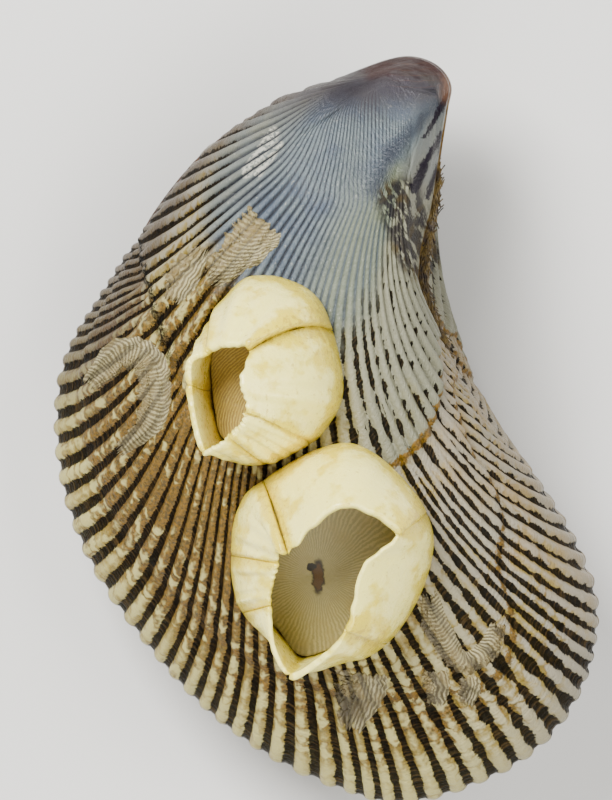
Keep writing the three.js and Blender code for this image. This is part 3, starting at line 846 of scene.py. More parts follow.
# %% What the colours read
NOISES = {"cloud": (0.45, 3.0, 0.6), "grain": (4.5, 3.0, 0.65), "fine": (9.0, 2.0, 0.6)}
STRIAE_SCALE = (0.5, 230.0)
BEAK_WITHOUT_GROOVES = (0.005, 0.04)
RING_EDGE = (-0.005, 0.02)
PATCH_WOBBLE = 0.7
ZONES = {
    "keel side": (0.44, 0.6), "hinge side": (0.34, 0.2), "grey back": (0.34, 0.22), "hinge": (0.1, 0.05),
    "upper left begins": (0.03, 0.08), "upper left ends": (0.35, 0.3), "broad side": (0.5, 0.42),
    "left begins": (0.3, 0.38), "left ends": (0.54, 0.46), "lower edge": (0.54, 0.6),
    "hollow side": (0.56, 0.66), "outer hollow side": (0.59, 0.66), "blush": (0.66, 0.72),
    "amber ring": (0.58, 0.64), "black ring": (0.37, 0.34), "brown ring": (0.4, 0.48),
}


def shell_fields(wiring, place):
    """What the colours read at a point of a valve, gathered under one name."""
    across, growth = pattern_of(wiring)
    rib = wiring.times(across, float(RIBS))
    x, y, _ = wiring.split(place)
    noises = {name: wiring.noise(place, *sizes) for name, sizes in NOISES.items()}
    along_ribs = wiring.vector(wiring.times(rib, STRIAE_SCALE[0]), wiring.times(growth, STRIAE_SCALE[1]))
    distance = rib_rule(wiring, rib, growth)[0]
    on_beak = wiring.ease(growth, *BEAK_WITHOUT_GROOVES, 1.0, 0.0)
    first_past = past_ring(wiring, rib, growth, FIRST_RING)
    return SimpleNamespace(
        across=across, growth=growth, rib=rib, x=x, y=y, place=place, **noises,
        striae=wiring.noise(along_ribs, 1.0),
        distance=wiring.add(distance, wiring.times(on_beak, wiring.less(1.0, distance))),
        plan=wiring.vector(
            wiring.add(x, wiring.sway(noises["grain"], PATCH_WOBBLE)),
            wiring.add(y, wiring.sway(noises["cloud"], PATCH_WOBBLE))),
        first_past=first_past,
        second_past=past_ring(wiring, rib, growth, SECOND_RING),
        outside=wiring.ease(first_past, *RING_EDGE))


def zone(wiring, spot, name, start=0.0, end=1.0):
    """How far a point lies in a zone, by its share of the way round the shell."""
    return wiring.ease(spot.across, *ZONES[name], start, end)


print("zones", len(ZONES))

# %% [markdown]
# Most of the shell is pale ribs with near-black grooves. Towards the beak it is slate blue. On the broad
# side each rib carries a row of white cells with amber between them. Each curve below says how one thing
# changes from rib to rib round the shell: the first number is the share of the way round.

# %% Colours of the ribs
BLUE_ENDS = [(0, 0.99), (0.04, 0.97), (0.12, 0.74), (0.2, 0.56), (0.28, 0.42), (0.36, 0.3), (0.45, 0.27),
             (0.58, 0.25), (0.63, 0.23), (0.7, 0.2), (0.76, 0.14), (0.82, 0.06), (0.9, 0.04), (0.93, 0.7),
             (0.95, 0.99), (1, 0.99)]
STAINED = [(0, 0.2), (0.08, 0.24), (0.2, 0.34), (0.28, 0.5), (0.36, 0.62), (0.42, 0.62), (0.5, 0.5),
           (0.55, 0.42), (0.6, 0.3), (0.66, 0.16), (0.72, 0.14), (0.8, 0.14), (0.9, 0.16), (1, 0.2)]
CELLS_ALONG = 27.0
CELL_SHIFT = 7.0
CELL_BEND = 5.0
CELL_NUMBERS = 17.3
# The crease colour is painted shade: a dusky blue-grey that stands in for the shadow in the fold beside the
# keel.
SHELL = {name: hex_colour(text) for name, text in {
    "slate groove": "20232a", "slate crest": "454f5b", "pale slate": "5d6769", "beak grey": "30282c",
    "sea green": "61664d", "white": "a89e62", "cream": "82702c", "amber": "6e5010", "olive": "423409",
    "lilac": "837c6a", "blush": "887454", "tan": "3d2f22", "groove": "040302", "striae": "3a2c17",
    "purple": "17101c", "ring": "4a380b", "grey green": "6a6a5a", "wedge": "5c5f59", "mauve": "2e1a17",
    "red brown": "2f0f09", "peach": "654633", "painted crease shade": "262b34", "chalk and glint white": "b9b6a6", "ochre": "33240d",
}.items()}


def slate_colour(wiring, spot):
    """The blue of the beak's side: dark grooves, paler ribs, green towards the hollow side, painted glints
    on the crests.
    """
    crest = wiring.mix(wiring.ease(spot.cloud, 0.35, 0.68), SHELL["slate crest"], SHELL["pale slate"])
    keel = wiring.times(zone(wiring, spot, "keel side"), wiring.ease(spot.growth, 0.05, 0.15))
    crest = wiring.mix(wiring.times(keel, 0.8), crest, SHELL["sea green"])
    dorsal = wiring.times(zone(wiring, spot, "hinge side"), wiring.ease(spot.growth, 0.15, 0.4))
    dorsal = wiring.times(dorsal, wiring.ease(spot.cloud, 0.3, 0.6, 0.95, 0.5))
    crest = wiring.mix(dorsal, crest, SHELL["grey green"])
    shadow = wiring.mix(wiring.times(keel, 0.55), SHELL["slate groove"], SHELL["pale slate"])
    colour = wiring.mix(wiring.ease(spot.distance, 0.0, 0.7), shadow, crest)
    # Painted glints: chalk-white specks on the rib crests stand in for small highlights. The same white also
    # serves the real chalky wear.
    painted_glint = wiring.times(wiring.ease(spot.grain, 0.58, 0.72), wiring.ease(spot.distance, 0.4, 0.9))
    return wiring.mix(wiring.times(painted_glint, 0.35), colour, SHELL["chalk and glint white"])


def stain_share(wiring, spot):
    """How much amber a place has: by rib, more outside the ring and low down, less at the very edge."""
    low = wiring.times(zone(wiring, spot, "lower edge"), wiring.ease(spot.growth, 0.72, 0.86))
    stain = wiring.add(
        wiring.curve(spot.across, STAINED), wiring.times(wiring.add(spot.outside, low), 0.14))
    left = wiring.times(zone(wiring, spot, "left begins"), zone(wiring, spot, "left ends"))
    stain = wiring.add(stain, wiring.times(left, wiring.ease(spot.growth, 0.86, 0.66, 0.0, 0.3)))
    stain = wiring.add(stain, wiring.sway(spot.cloud, 0.7))
    return wiring.times(stain, wiring.ease(spot.growth, 0.86, 0.98, 1.0, 0.5))


def cell_colour(wiring, spot):
    """Pale ribs with white cells along them, and amber between the cells and beside the grooves."""
    rib_number = wiring.math("FLOOR", spot.rib)
    along = wiring.add(
        wiring.times(spot.growth, CELLS_ALONG), wiring.times(wiring.random(rib_number), CELL_SHIFT),
        wiring.times(spot.cloud, CELL_BEND))
    cell = wiring.random(wiring.add(wiring.math("FLOOR", along), wiring.times(rib_number, CELL_NUMBERS)))
    middle = wiring.times(wiring.math("PINGPONG", along, 0.5), 2.0)
    stain = stain_share(wiring, spot)
    blob = wiring.times(middle, wiring.add(wiring.times(cell, 0.9), 0.3))
    edge = wiring.add(wiring.times(spot.distance, 0.75), wiring.sway(spot.grain, 0.45))
    white = wiring.ease(wiring.less(wiring.add(blob, edge), stain), 0.0, 0.75)
    amber = wiring.mix(wiring.ease(spot.grain, 0.36, 0.64), SHELL["olive"], SHELL["amber"])
    paler = wiring.ease(wiring.add(stain, wiring.times(cell, 0.3)), 0.9, 0.3)
    amber = wiring.mix(paler, amber, SHELL["cream"])
    grey = wiring.math("MAXIMUM", zone(wiring, spot, "hollow side"), zone(wiring, spot, "grey back"))
    pale = wiring.mix(grey, SHELL["white"], SHELL["lilac"])
    return wiring.mix(wiring.ease(stain, 0.16, 0.4), pale, wiring.mix(white, amber, pale))


print("shell colours", len(SHELL))

# %% [markdown]
# The grooves are nearly black. On the broad side they run unbroken to the edge, with ragged sides and
# fine cross lines. On the hollow side they break up into spots and dashes. One field does both: a noise
# along each groove is added to the groove's width, and where it is given more weight the groove thins
# out and parts.

# %% Dark grooves
DARK_FROM = [(0, 1), (0.04, 0.9), (0.12, 0.68), (0.2, 0.52), (0.28, 0.42), (0.36, 0.36), (0.45, 0.28),
             (0.55, 0.27), (0.62, 0.26), (0.7, 0.25), (0.775, 0.28), (0.82, 0.29), (0.87, 0.36), (0.93, 0.8),
             (1, 1)]
DARK_WIDTH = [(0, 0.3), (0.1, 0.54), (0.2, 0.6), (0.3, 0.57), (0.45, 0.52), (0.56, 0.54), (0.6, 0.5),
              (0.63, 0.38), (0.68, 0.3), (0.74, 0.18), (0.8, 0.16), (0.87, 0.2), (1, 0.2)]
WIDTH_OFFSET = 0.1
WIDER_OUTSIDE = 0.27
BROKEN = [(0, 0.2), (0.3, 0.14), (0.45, 0.14), (0.56, 0.16), (0.62, 0.6), (0.68, 0.9), (0.8, 0.95), (1, 0.4)]
BROKEN_TOP = 3.2
WHOLE_OUTSIDE = 0.55
DASHES_ALONG = 34.0
DASH_BEND = 1.5
GROOVE_NUMBERS = 7.13


def groove_share(wiring, spot):
    """How far a point lies in a dark groove."""
    number = wiring.times(wiring.math("ROUND", spot.rib), GROOVE_NUMBERS)
    along = wiring.add(wiring.times(spot.growth, DASHES_ALONG), wiring.times(spot.cloud, DASH_BEND))
    drift = wiring.noise(wiring.vector(number, along), 1.0, 2.5, 0.55)
    hollow_side = wiring.times(spot.outside, zone(wiring, spot, "outer hollow side"))
    thinner = wiring.times(
        zone(wiring, spot, "broad side"), wiring.ease(spot.growth, 0.55, 0.97, 0.16, 0.0))
    width = wiring.less(wiring.curve(spot.across, DARK_WIDTH), wiring.add(thinner, WIDTH_OFFSET))
    width = wiring.add(width, wiring.times(hollow_side, WIDER_OUTSIDE))
    gain = wiring.times(wiring.curve(spot.across, BROKEN), BROKEN_TOP)
    gain = wiring.times(gain, wiring.less(1.0, wiring.times(hollow_side, WHOLE_OUTSIDE)))
    ragged = wiring.add(spot.distance, wiring.sway(spot.fine, 0.36), wiring.sway(spot.striae, 0.22))
    field = wiring.add(wiring.sway(drift, gain), wiring.less(width, ragged))
    onset = wiring.less(spot.growth, wiring.curve(spot.across, DARK_FROM))
    onset = wiring.ease(wiring.add(onset, wiring.sway(spot.cloud, 0.16)), -0.05, 0.06)
    return wiring.times(wiring.ease(field, -0.04, 0.08), onset)


print("groove curves", len(DARK_FROM), len(DARK_WIDTH), len(BROKEN))

# %% [markdown]
# Some marks lie at one place only: painted shade in the crease beside the keel, dark streaks and a pale
# wedge under the beak, patches worn to chalk, red-brown and peach on the beak itself. Each is a row in a
# table: its colour, the two ends of a line in the plan, its reach and its strength. The functions below
# lay one thing each over the colour that they are given.

# %% Marks at one place
MARKS = [
    ("pale slate", (6.9, 19.8), (4.6, 16.6), 1.0, 0.8), ("sea green", (4.4, 16.2), (3.4, 13.4), 1.0, 0.7),
    # These two crease rows are painted shade: a dark band laid where the fold beside the keel is in shadow.
    ("painted crease shade", (7.3, 20.6), (4.0, 17.2), 1.0, 0.85), ("painted crease shade", (4.0, 17.2), (2.9, 14.9), 0.9, 0.75),
    ("wedge", (6.7, 18.9), (5.2, 16.0), 0.9, 0.85), ("wedge", (6.9, 17.6), (6.2, 15.6), 0.9, 0.8),
]
STREAKS = [
    ("purple", (7.55, 20.9), (6.7, 19.2), 0.3, 1.0), ("purple", (6.7, 19.2), (6.1, 18.2), 0.2, 0.9),
    ("purple", (7.2, 18.5), (6.1, 16.4), 0.32, 1.0), ("purple", (6.1, 16.4), (5.5, 15.0), 0.5, 1.0),
    ("purple", (7.0, 16.5), (6.3, 14.5), 0.25, 1.0),
]
BEAK_MARKS = [
    ("mauve", (2.9, 22.9), (7.4, 22.9), 1.7, 0.95), ("red brown", (2.9, 22.3), (3.7, 22.5), 0.8, 0.85),
    ("red brown", (6.3, 22.8), (7.2, 22.1), 0.7, 0.9), ("peach", (7.7, 22.0), (7.5, 20.9), 0.75, 0.85),
]
CHALK = [
    ((-4.9, 16.1), (-3.2, 18.5), 0.5), ((-4.2, 16.0), (-2.9, 17.8), 0.35),
    ((-7.9, 17.5), (-6.9, 18.4), 0.35),
]
MOTTLED = ((4.6, 14.2), (5.8, 11.0), 2.2)
BLOT_SLANT = ((0.33, -0.62), (1.9, 1.0))
BEAK_GREY_FROM = (19.4, 22.0)
BEAK_LINES = 2.6


def marked(wiring, spot, colour, rows):
    """Lays a table of marks over a colour."""
    for name, start, end, reach, strength in rows:
        share = wiring.times(patch(wiring, spot.plan, start, end, reach), strength)
        colour = wiring.mix(share, colour, SHELL[name])
    return colour


def chalked(wiring, spot, colour):
    """Lays the patches that are worn to chalk on the crests of the ribs."""
    broken = wiring.times(wiring.ease(spot.grain, 0.4, 0.55), wiring.ease(spot.distance, 0.1, 0.5))
    for start, end, reach in CHALK:
        chalky = wiring.times(wiring.ease(patch(wiring, spot.plan, start, end, reach), 0.0, 0.5), broken)
        colour = wiring.mix(wiring.times(chalky, 0.75), colour, SHELL["chalk and glint white"])
    return colour


def blotted(wiring, spot, colour, dark):
    """Lays the slanting blots under the beak and the dark streaks. Dark keeps what is dark so far."""
    slanted = wiring.vector(*(
        wiring.add(wiring.times(spot.x, by_x), wiring.times(spot.y, by_y)) for by_x, by_y in BLOT_SLANT))
    blots = wiring.add(wiring.noise(slanted, 1.0, 3.0, 0.6), wiring.sway(spot.grain, 0.2))
    inside = wiring.ease(patch(wiring, spot.plan, *MOTTLED), 0.0, 0.5)
    blots = wiring.times(wiring.ease(blots, 0.41, 0.5), inside)
    blot_colour = wiring.mix(wiring.ease(spot.cloud, 0.5, 0.6), SHELL["purple"], SHELL["ochre"])
    dark = wiring.math("MAXIMUM", dark, blots)
    colour = wiring.mix(wiring.times(blots, 0.85), colour, blot_colour)
    for name, start, end, reach, strength in STREAKS:
        streak = wiring.ease(patch(wiring, spot.plan, start, end, reach), 0.1, 0.6)
        streak = wiring.times(streak, strength)
        dark = wiring.math("MAXIMUM", dark, streak)
        colour = wiring.mix(streak, colour, SHELL[name])
    return colour, dark


def ringed(wiring, spot, colour, dark):
    """Lays the growth rings: amber on the hollow side, black at the upper left, brown further out."""
    ring = wiring.add(spot.first_past, wiring.sway(spot.grain, 0.02))
    ledge = wiring.near(ring, 0.0, wiring.ease(spot.cloud, 0.35, 0.65, 0.006, 0.016))
    gold = wiring.mix(wiring.ease(spot.grain, 0.4, 0.6), SHELL["ring"], SHELL["amber"])
    amber = wiring.times(ledge, zone(wiring, spot, "amber ring"))
    colour = wiring.mix(wiring.ease(amber, 0.1, 0.5), colour, gold)
    clumps = wiring.sway(wiring.noise(spot.place, 1.1, 4.0, 0.7), 0.09)
    black = wiring.ease(wiring.near(wiring.add(ring, clumps), -0.005, 0.02), 0.05, 0.6)
    black = wiring.times(
        black, zone(wiring, spot, "black ring"), wiring.ease(spot.grain, 0.35, 0.55, 0.3, 0.95))
    dark = wiring.math("MAXIMUM", dark, black)
    colour = wiring.mix(black, colour, SHELL["groove"])
    second = wiring.near(wiring.add(spot.second_past, wiring.sway(spot.grain, 0.03)), 0.0, 0.015)
    brown = wiring.times(
        second, wiring.ease(spot.cloud, 0.32, 0.42), zone(wiring, spot, "brown ring"),
        wiring.less(1.0, dark))
    return wiring.mix(wiring.ease(brown, 0.1, 0.6), colour, gold), dark


def beak_coloured(wiring, spot, colour):
    """Lays mauve, red-brown and peach on the beak, with fine lines of growth."""
    colour = marked(wiring, spot, colour, BEAK_MARKS)
    along = wiring.add(wiring.times(spot.y, BEAK_LINES), wiring.times(spot.cloud, 2.0))
    lines = wiring.ease(wiring.math("PINGPONG", along, 0.5), 0.42, 0.5)
    lines = wiring.times(lines, wiring.ease(spot.y, 20.8, 21.6), wiring.ease(spot.x, 3.5, 5.0))
    return wiring.mix(wiring.times(lines, 0.35), colour, SHELL["peach"])


print("marks", len(MARKS) + len(STREAKS) + len(BEAK_MARKS) + len(CHALK))

# %% [markdown]
# The last step puts everything together in the order in which it covers. The ground comes first: slate
# near the beak, pale ribs further out, and tan where the upper left margin is worn. Then come the marks,
# the grooves, the rings and the beak. Grooves shine less than ribs, and a fine bump gives both a grain.

# %% Finish of the valves


def ground_colour(wiring, spot):
    """Slate that gives way to pale ribs, with sea green, blush and tan in their zones."""
    near_beak = wiring.ease(wiring.add(spot.y, wiring.times(spot.cloud, 1.5)), *BEAK_GREY_FROM)
    slate = wiring.mix(wiring.times(near_beak, 0.85), slate_colour(wiring, spot), SHELL["beak grey"])
    inner = wiring.times(wiring.less(1.0, spot.outside), zone(wiring, spot, "hollow side"))
    pale = wiring.mix(wiring.times(inner, 0.55), cell_colour(wiring, spot), SHELL["sea green"])
    blush = wiring.times(spot.outside, zone(wiring, spot, "blush"))
    blush = wiring.times(blush, wiring.ease(spot.cloud, 0.35, 0.65, 0.1, 0.6))
    pale = wiring.mix(blush, pale, SHELL["blush"])
    past_blue = wiring.less(spot.growth, wiring.curve(spot.across, BLUE_ENDS))
    past_blue = wiring.add(past_blue, wiring.sway(spot.cloud, 0.14))
    past_blue = wiring.less(past_blue, zone(wiring, spot, "hinge", 0.0, 0.3))
    colour = wiring.mix(wiring.ease(past_blue, 0.0, 0.12), slate, pale)
    upper_left = wiring.times(
        zone(wiring, spot, "upper left begins"), zone(wiring, spot, "upper left ends"))
    margin = wiring.ease(wiring.add(spot.growth, wiring.times(spot.cloud, 0.3)), 0.78, 1.0)
    return wiring.mix(wiring.times(upper_left, margin, 0.8), colour, SHELL["tan"])


def shell_finish():
    material, wiring, shader, place = start_finish("ribbed shell")
    spot = shell_fields(wiring, place)
    colour = marked(wiring, spot, ground_colour(wiring, spot), MARKS)
    colour = chalked(wiring, spot, colour)
    dark = groove_share(wiring, spot)
    cross_lines = wiring.ease(wiring.add(spot.striae, wiring.times(spot.grain, 0.3)), 0.6, 0.9)
    groove = wiring.mix(cross_lines, SHELL["groove"], SHELL["striae"])
    colour = wiring.mix(wiring.times(dark, 0.97), colour, groove)
    colour, dark = blotted(wiring, spot, colour, dark)
    colour, dark = ringed(wiring, spot, colour, dark)
    wiring.feed(shader.inputs["Base Color"], beak_coloured(wiring, spot, colour))
    wiring.feed(shader.inputs["Roughness"], wiring.ease(spot.grain, 0.3, 0.7, 0.28, 0.45))
    wiring.feed(shader.inputs["Specular IOR Level"], wiring.ease(dark, 0.0, 1.0, 0.32, 0.04))
    add_bump(wiring, shader, wiring.add(spot.striae, spot.grain), 0.6, 0.16)
    return material


ribbed_shell = shell_finish()
right_valve = bake_tree(build_valve("right_valve_skin", False), valve_ribs, ribbed_shell)
left_valve = bake_tree(build_valve("left_valve_skin", True), valve_ribs, ribbed_shell)
for valve, node in ((right_valve, "right_valve"), (left_valve, "left_valve")):
    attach(valve, "root")
    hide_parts(node)

# %% [markdown]
# What is cemented on the valve has to follow its ribs without a gap. A ray sent straight down on the
# finished valve finds the height of the ribs at any point of the plan, and every piece below stands on
# that height, sunk in a little as cement is.

# %% Heights on the ribbed valve
SINK = 0.12


def mesh_points(mesh):
    places = np.empty(3 * len(mesh.vertices))
    mesh.vertices.foreach_get("co", places)
    return places.reshape(-1, 3) / MM


valve_faces = [tuple(face.vertices) for face in right_valve.data.polygons]
valve_height = height_finder(mesh_points(right_valve.data), valve_faces)
print("valve height in the middle", np.round(valve_height(np.array([0.0]), np.array([0.0])), 2).tolist())

# %% [markdown]
# A barnacle's wall is six plates of ivory-coloured lime that stand in a ring and lean together towards
# the mouth. A lathe would make them too even, so each wall is swept through given stations: where
# its foot stands, where its rim ends and how high it is. Every second station is a suture between two
# plates. A bent line from foot to rim at every place round the wall makes its outer face.

# %% Barnacle walls
UPPER_BARNACLE = np.array([
    (-7.1, 7.0, -7.4, 4.8, 5.6), (-4.4, 9.5, -6.1, 5.3, 5.9), (-0.5, 8.1, -4.8, 5.0, 6.1),
    (1.1, 2.8, -5.1, 2.8, 6.4), (-0.2, -0.2, -4.8, 1.1, 6.1), (-2.0, -1.4, -5.3, 0.4, 6.1),
    (-3.6, -2.1, -5.9, -0.4, 5.9), (-5.4, -2.1, -6.9, -1.2, 6.1), (-7.1, -1.1, -7.7, -1.4, 5.9),
    (-7.7, 0.6, -8.3, 0.6, 5.7), (-8.0, 2.4, -8.6, 2.8, 5.6), (-7.9, 4.9, -8.5, 4.3, 5.7)])
LOWER_BARNACLE = np.array([
    (-3.9, -3.1, -2.5, -7.5, 6.5), (1.6, -0.9, 0.9, -4.7, 6.9), (6.2, -5.1, 4.5, -6.4, 6.7),
    (6.3, -9.1, 2.3, -8.6, 7.2), (3.8, -13.3, 1.3, -12.4, 6.9), (0.3, -14.6, -0.5, -14.4, 6.5),
    (-1.9, -14.9, -2.3, -15.3, 6.4), (-3.6, -13.1, -3.4, -13.5, 6.2), (-5.2, -11.4, -3.6, -10.9, 6.4),
    (-5.8, -9.7, -3.4, -9.5, 6.5), (-5.9, -7.8, -3.1, -8.3, 6.5), (-5.5, -5.0, -2.9, -7.0, 6.6)])
WALL_LEAN = 0.1
WALL_SHOULDER = 0.72
RIM_RAGGED = 0.012
RIM_WAVES = (9, 26.0)


def wander(t, seed, waves=7, quickest=9.0):
    """A fixed wavering line between about -1 and 1."""
    draw = np.random.default_rng(seed)
    speeds = draw.uniform(0.6, quickest, waves)
    starts = draw.uniform(0, 2 * math.pi, waves)
    lines = [np.sin(np.asarray(t) * speed + start) for speed, start in zip(speeds, starts)]
    return sum(lines) / math.sqrt(waves)


def barnacle_wall(rows, seed):
    """The outer face of a whole wall, as a function of station numbers and shares of the height."""
    rim_height = smooth_height(rows[:, 0], rows[:, 1]) + rows[:, 4]
    rows = np.column_stack([rows, rim_height])

    def outer(t, s):
        flat = t.ravel()
        found = through_rows(lambda i: rows[np.mod(i, len(rows))], flat)
        foot = np.column_stack([found[:, :2], valve_height(found[:, 0], found[:, 1]) - SINK])
        rim = np.column_stack([found[:, 2:4], found[:, 5]])
        shoulder = foot + (rim - foot) * np.array([WALL_LEAN, WALL_LEAN, WALL_SHOULDER])
        ragged = 1 + RIM_RAGGED * wander(flat, seed, *RIM_WAVES)
        up = (np.broadcast_to(s, t.shape).ravel() * ragged)[:, None]
        curve = (1 - up) ** 2 * foot + 2 * up * (1 - up) * shoulder + up ** 2 * rim
        return curve.reshape(*t.shape, 3)

    return outer


print("stations of the walls", len(UPPER_BARNACLE), len(LOWER_BARNACLE))

# %% [markdown]
# Plates and crusts are both thin sheets with a front and a back. Solidify would give them one thickness
# everywhere, and theirs changes, so both faces are made as grids. A slab joins them round the border into
# a closed solid. The pattern map holds each point's position in the grid, for the finishes.

# %% Slabs and their hand-over


def grid_normals(grid):
    along = np.gradient(grid, axis=0)
    up = np.gradient(grid, axis=1)
    normal = np.cross(up, along)
    return normal / np.linalg.norm(normal, axis=2, keepdims=True).clip(TINY)


def slab(name, front, back):
    """A closed solid between two grids of points, and the grid position of every point."""
    n, m = front.shape[:2]
    points = np.vstack([front.reshape(-1, 3), back.reshape(-1, 3)])
    number = np.arange(n * m).reshape(n, m)
    faces = []
    for i in range(n - 1):
        for j in range(m - 1):
            quad = (number[i, j], number[i + 1, j], number[i + 1, j + 1], number[i, j + 1])
            faces.append(quad)
            faces.append(tuple(point + n * m for point in reversed(quad)))
    border = [*number[:-1, 0], *number[-1, :-1], *number[:0:-1, -1], *number[0, :0:-1]]
    for a, b in zip(border, border[1:] + border[:1]):
        faces.append((b, a, a + n * m, b + n * m))
    made = new_object(name, points, [tuple(int(point) for point in face) for face in faces])
    shares = np.meshgrid(np.linspace(0, 1, n), np.linspace(0, 1, m), indexing="ij")
    place = np.stack(shares, -1).reshape(-1, 2)
    return made, np.vstack([place, place])


def map_points(piece, values):
    """Gives every corner of a piece the two pattern values of its point."""
    pattern_map(piece.data, values[corner_points(piece.data)])


def hand_over(piece, node, finish):
    """Gives a piece its finish and puts it in the place of a solid."""
    piece.data.materials.clear()
    piece.data.materials.append(finish)
    piece.data.shade_smooth()
    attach(piece, "root")
    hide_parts(node)


print("slab helpers ready")

# %% [markdown]
# A plate is the stretch of wall between two sutures. Two sutures slant, and a plate may end in a ledge
# above or below the next one, which makes the plates look laid over each other. A shallow dip runs along
# each suture, the middle swells a little, fine growth lines cross it, and the wall thins to the rim.

# %% Plates of a wall
PLATES = 6
PLATE_ACROSS = 44
PLATE_UP = 40
SUTURE_HALF_GAP = 0.006
WALL_AT_FOOT = 1.0
WALL_AT_RIM = 0.28
RIM_LIFT = 0.4
SUTURE_DIP = 0.1
SUTURE_REACH = 0.12
SUTURE_SLANTS = {"upper_barnacle": (0, 0.4, 0.5, 0, 0, 0), "lower_barnacle": (0, 0, 0, 0, 0, 0)}
LEDGES = {
    "upper_barnacle": ((0.1, 0.45), (-0.2, 0.32), (-0.12, 0.2), (-0.1, 0.1), (0.0, 0.1), (0.0, 0.0)),
    "lower_barnacle": ((-0.28, 0.1), (0.0, 0.34), (-0.12, 0.1), (-0.05, 0.1), (-0.05, 0.1), (-0.12, 0.3)),
}
LEDGE_REACH = 0.32
LEDGE_RISES = (0.0, 0.6)
PLATE_STEPS_OUT = (0.2, -0.02, 0.1, 0.0, 0.04, 0.1)
SWELLING = 0.09
SWELL_PACE = 2.1
GROWTH_LINES = 0.012
GROWTH_PACE = 40
WALL_THINS = 0.7
FOOT_FADE = (0, 0.1)


def build_plate(name, outer, plate, seed, slants, ledge):
    """One plate of a wall, as a slab between its outer and its inner face."""
    s = np.linspace(0, 1, PLATE_UP)
    local = np.linspace(SUTURE_HALF_GAP / 2, 1 - SUTURE_HALF_GAP / 2, PLATE_ACROSS)
    start = 2 * plate + slants[plate] * (1 - s)
    end = 2 * plate + 2 + slants[(plate + 1) % PLATES] * (1 - s)
    t = start + (end - start) * local[:, None]
    face = outer(t, s)
    normal = grid_normals(face)
    from_suture = np.minimum(local, 1 - local) * 2
    dip = -SUTURE_DIP * np.exp(-(from_suture / SUTURE_REACH) ** 2)
    swell = SWELLING * wander(t * SWELL_PACE, seed + 5) * np.sin(np.pi * s) + PLATE_STEPS_OUT[plate]
    edges = ledge[0] * (1 - ease(local, 0, LEDGE_REACH)) + ledge[1] * ease(local, 1 - LEDGE_REACH, 1)
    swell = swell + edges[:, None] * ease(s, *LEDGE_RISES)
    lines = GROWTH_LINES * wander(s * GROWTH_PACE, seed + 9)[None, :]
    wall = WALL_AT_FOOT + (WALL_AT_RIM - WALL_AT_FOOT) * s ** WALL_THINS
    back = face - normal * wall[None, :, None]
    face = face + normal * ((dip[:, None] + swell + lines) * ease(s, *FOOT_FADE))[..., None]
    rim = (face[:, -1] + back[:, -1]) / 2 + (face[:, -1] - face[:, -2]) * RIM_LIFT
    front = np.concatenate([face, rim[:, None]], 1)
    back = np.concatenate([back, (back[:, -1:] + rim[:, None]) / 2], 1)
    piece, place = slab(name, back, front)
    map_points(piece, place)
    return piece


print("plates to a wall", PLATES)

# %% [markdown]
# Barnacle lime is ivory: warm, nearly smooth and a little translucent. A weak subsurface and a thin coat
# give that. Yellow stain gathers in clouds, beside the sutures and at the foot, with flecks of ochre.

# %% Ivory plates in place
BARNACLES = (("upper_barnacle", UPPER_BARNACLE, 11), ("lower_barnacle", LOWER_BARNACLE, 23))
SEED_STEP = 31
IVORY = {name: hex_colour(text) for name, text in {
    "fresh": "fff286", "stained": "e2cc3c", "ochre": "b69a28"}.items()}
IVORY_DEPTH = (0.0012, 0.0009, 0.0005)


def ivory_finish():
    """Ivory with yellow stain in clouds, beside the sutures and at the foot, under a thin gloss."""
    material, wiring, shader, place = start_finish("ivory barnacle")
    across, up = pattern_of(wiring)
    cloud = wiring.noise(place, 0.55, 4.0, 0.6)
    fleck = wiring.noise(place, 2.6, 3.0, 0.6)
    near_suture = wiring.ease(wiring.math("PINGPONG", across, 0.5), 0.2, 0.0)
    low = wiring.ease(up, 0.45, 0.0)
    worn = wiring.add(wiring.times(near_suture, 0.24), wiring.times(low, 0.26))
    stain = wiring.ease(wiring.add(cloud, worn), 0.48, 0.68)
    colour = wiring.mix(stain, IVORY["fresh"], IVORY["stained"])
    ochre = wiring.ease(wiring.add(fleck, wiring.times(worn, 0.6)), 0.62, 0.74)
    colour = wiring.mix(wiring.times(ochre, 0.6), colour, IVORY["ochre"])
    wiring.feed(shader.inputs["Base Color"], colour)
    wiring.feed(shader.inputs["Roughness"], wiring.ease(fleck, 0.3, 0.7, 0.24, 0.42))
    shader.inputs["Coat Weight"].default_value = 0.3
    shader.inputs["Coat Roughness"].default_value = 0.18
    shader.inputs["Subsurface Weight"].default_value = 0.12
    shader.inputs["Subsurface Radius"].default_value = IVORY_DEPTH
    shader.inputs["Subsurface Scale"].default_value = 1.0
    add_bump(wiring, shader, wiring.add(fleck, wiring.noise(place, 9.0, 2.0)), 0.3, 0.1)
    return material


ivory = ivory_finish()
for barnacle, rows, seed in BARNACLES:
    wall_face = barnacle_wall(rows, seed)
    for plate in range(PLATES):
        node = f"{barnacle}_plate_{plate + 1}"
        made = build_plate(node + "_wall", wall_face, plate, seed + SEED_STEP * plate,
                           SUTURE_SLANTS[barnacle], LEDGES[barnacle][plate])
        hand_over(made, node, ivory)
    print(barnacle, PLATES, "plates")

# %% [markdown]
# Fine parallel ridges cover the chalky bases of barnacles, standing ones and lost ones alike. They repeat
# by the hundred, so one Geometry Nodes tree makes them all: it reads a stripe number from each point,
# raises a ridge at every whole number, and roughens the rest.

# %% Geometry Nodes that corrugate a crust
CRUST_SIZES = {"Ridge": 0.1, "Roughness": 0.08, "Sharpness": 1.6}
CRUST_NOISE = (1.7, 3.0, 0.6)


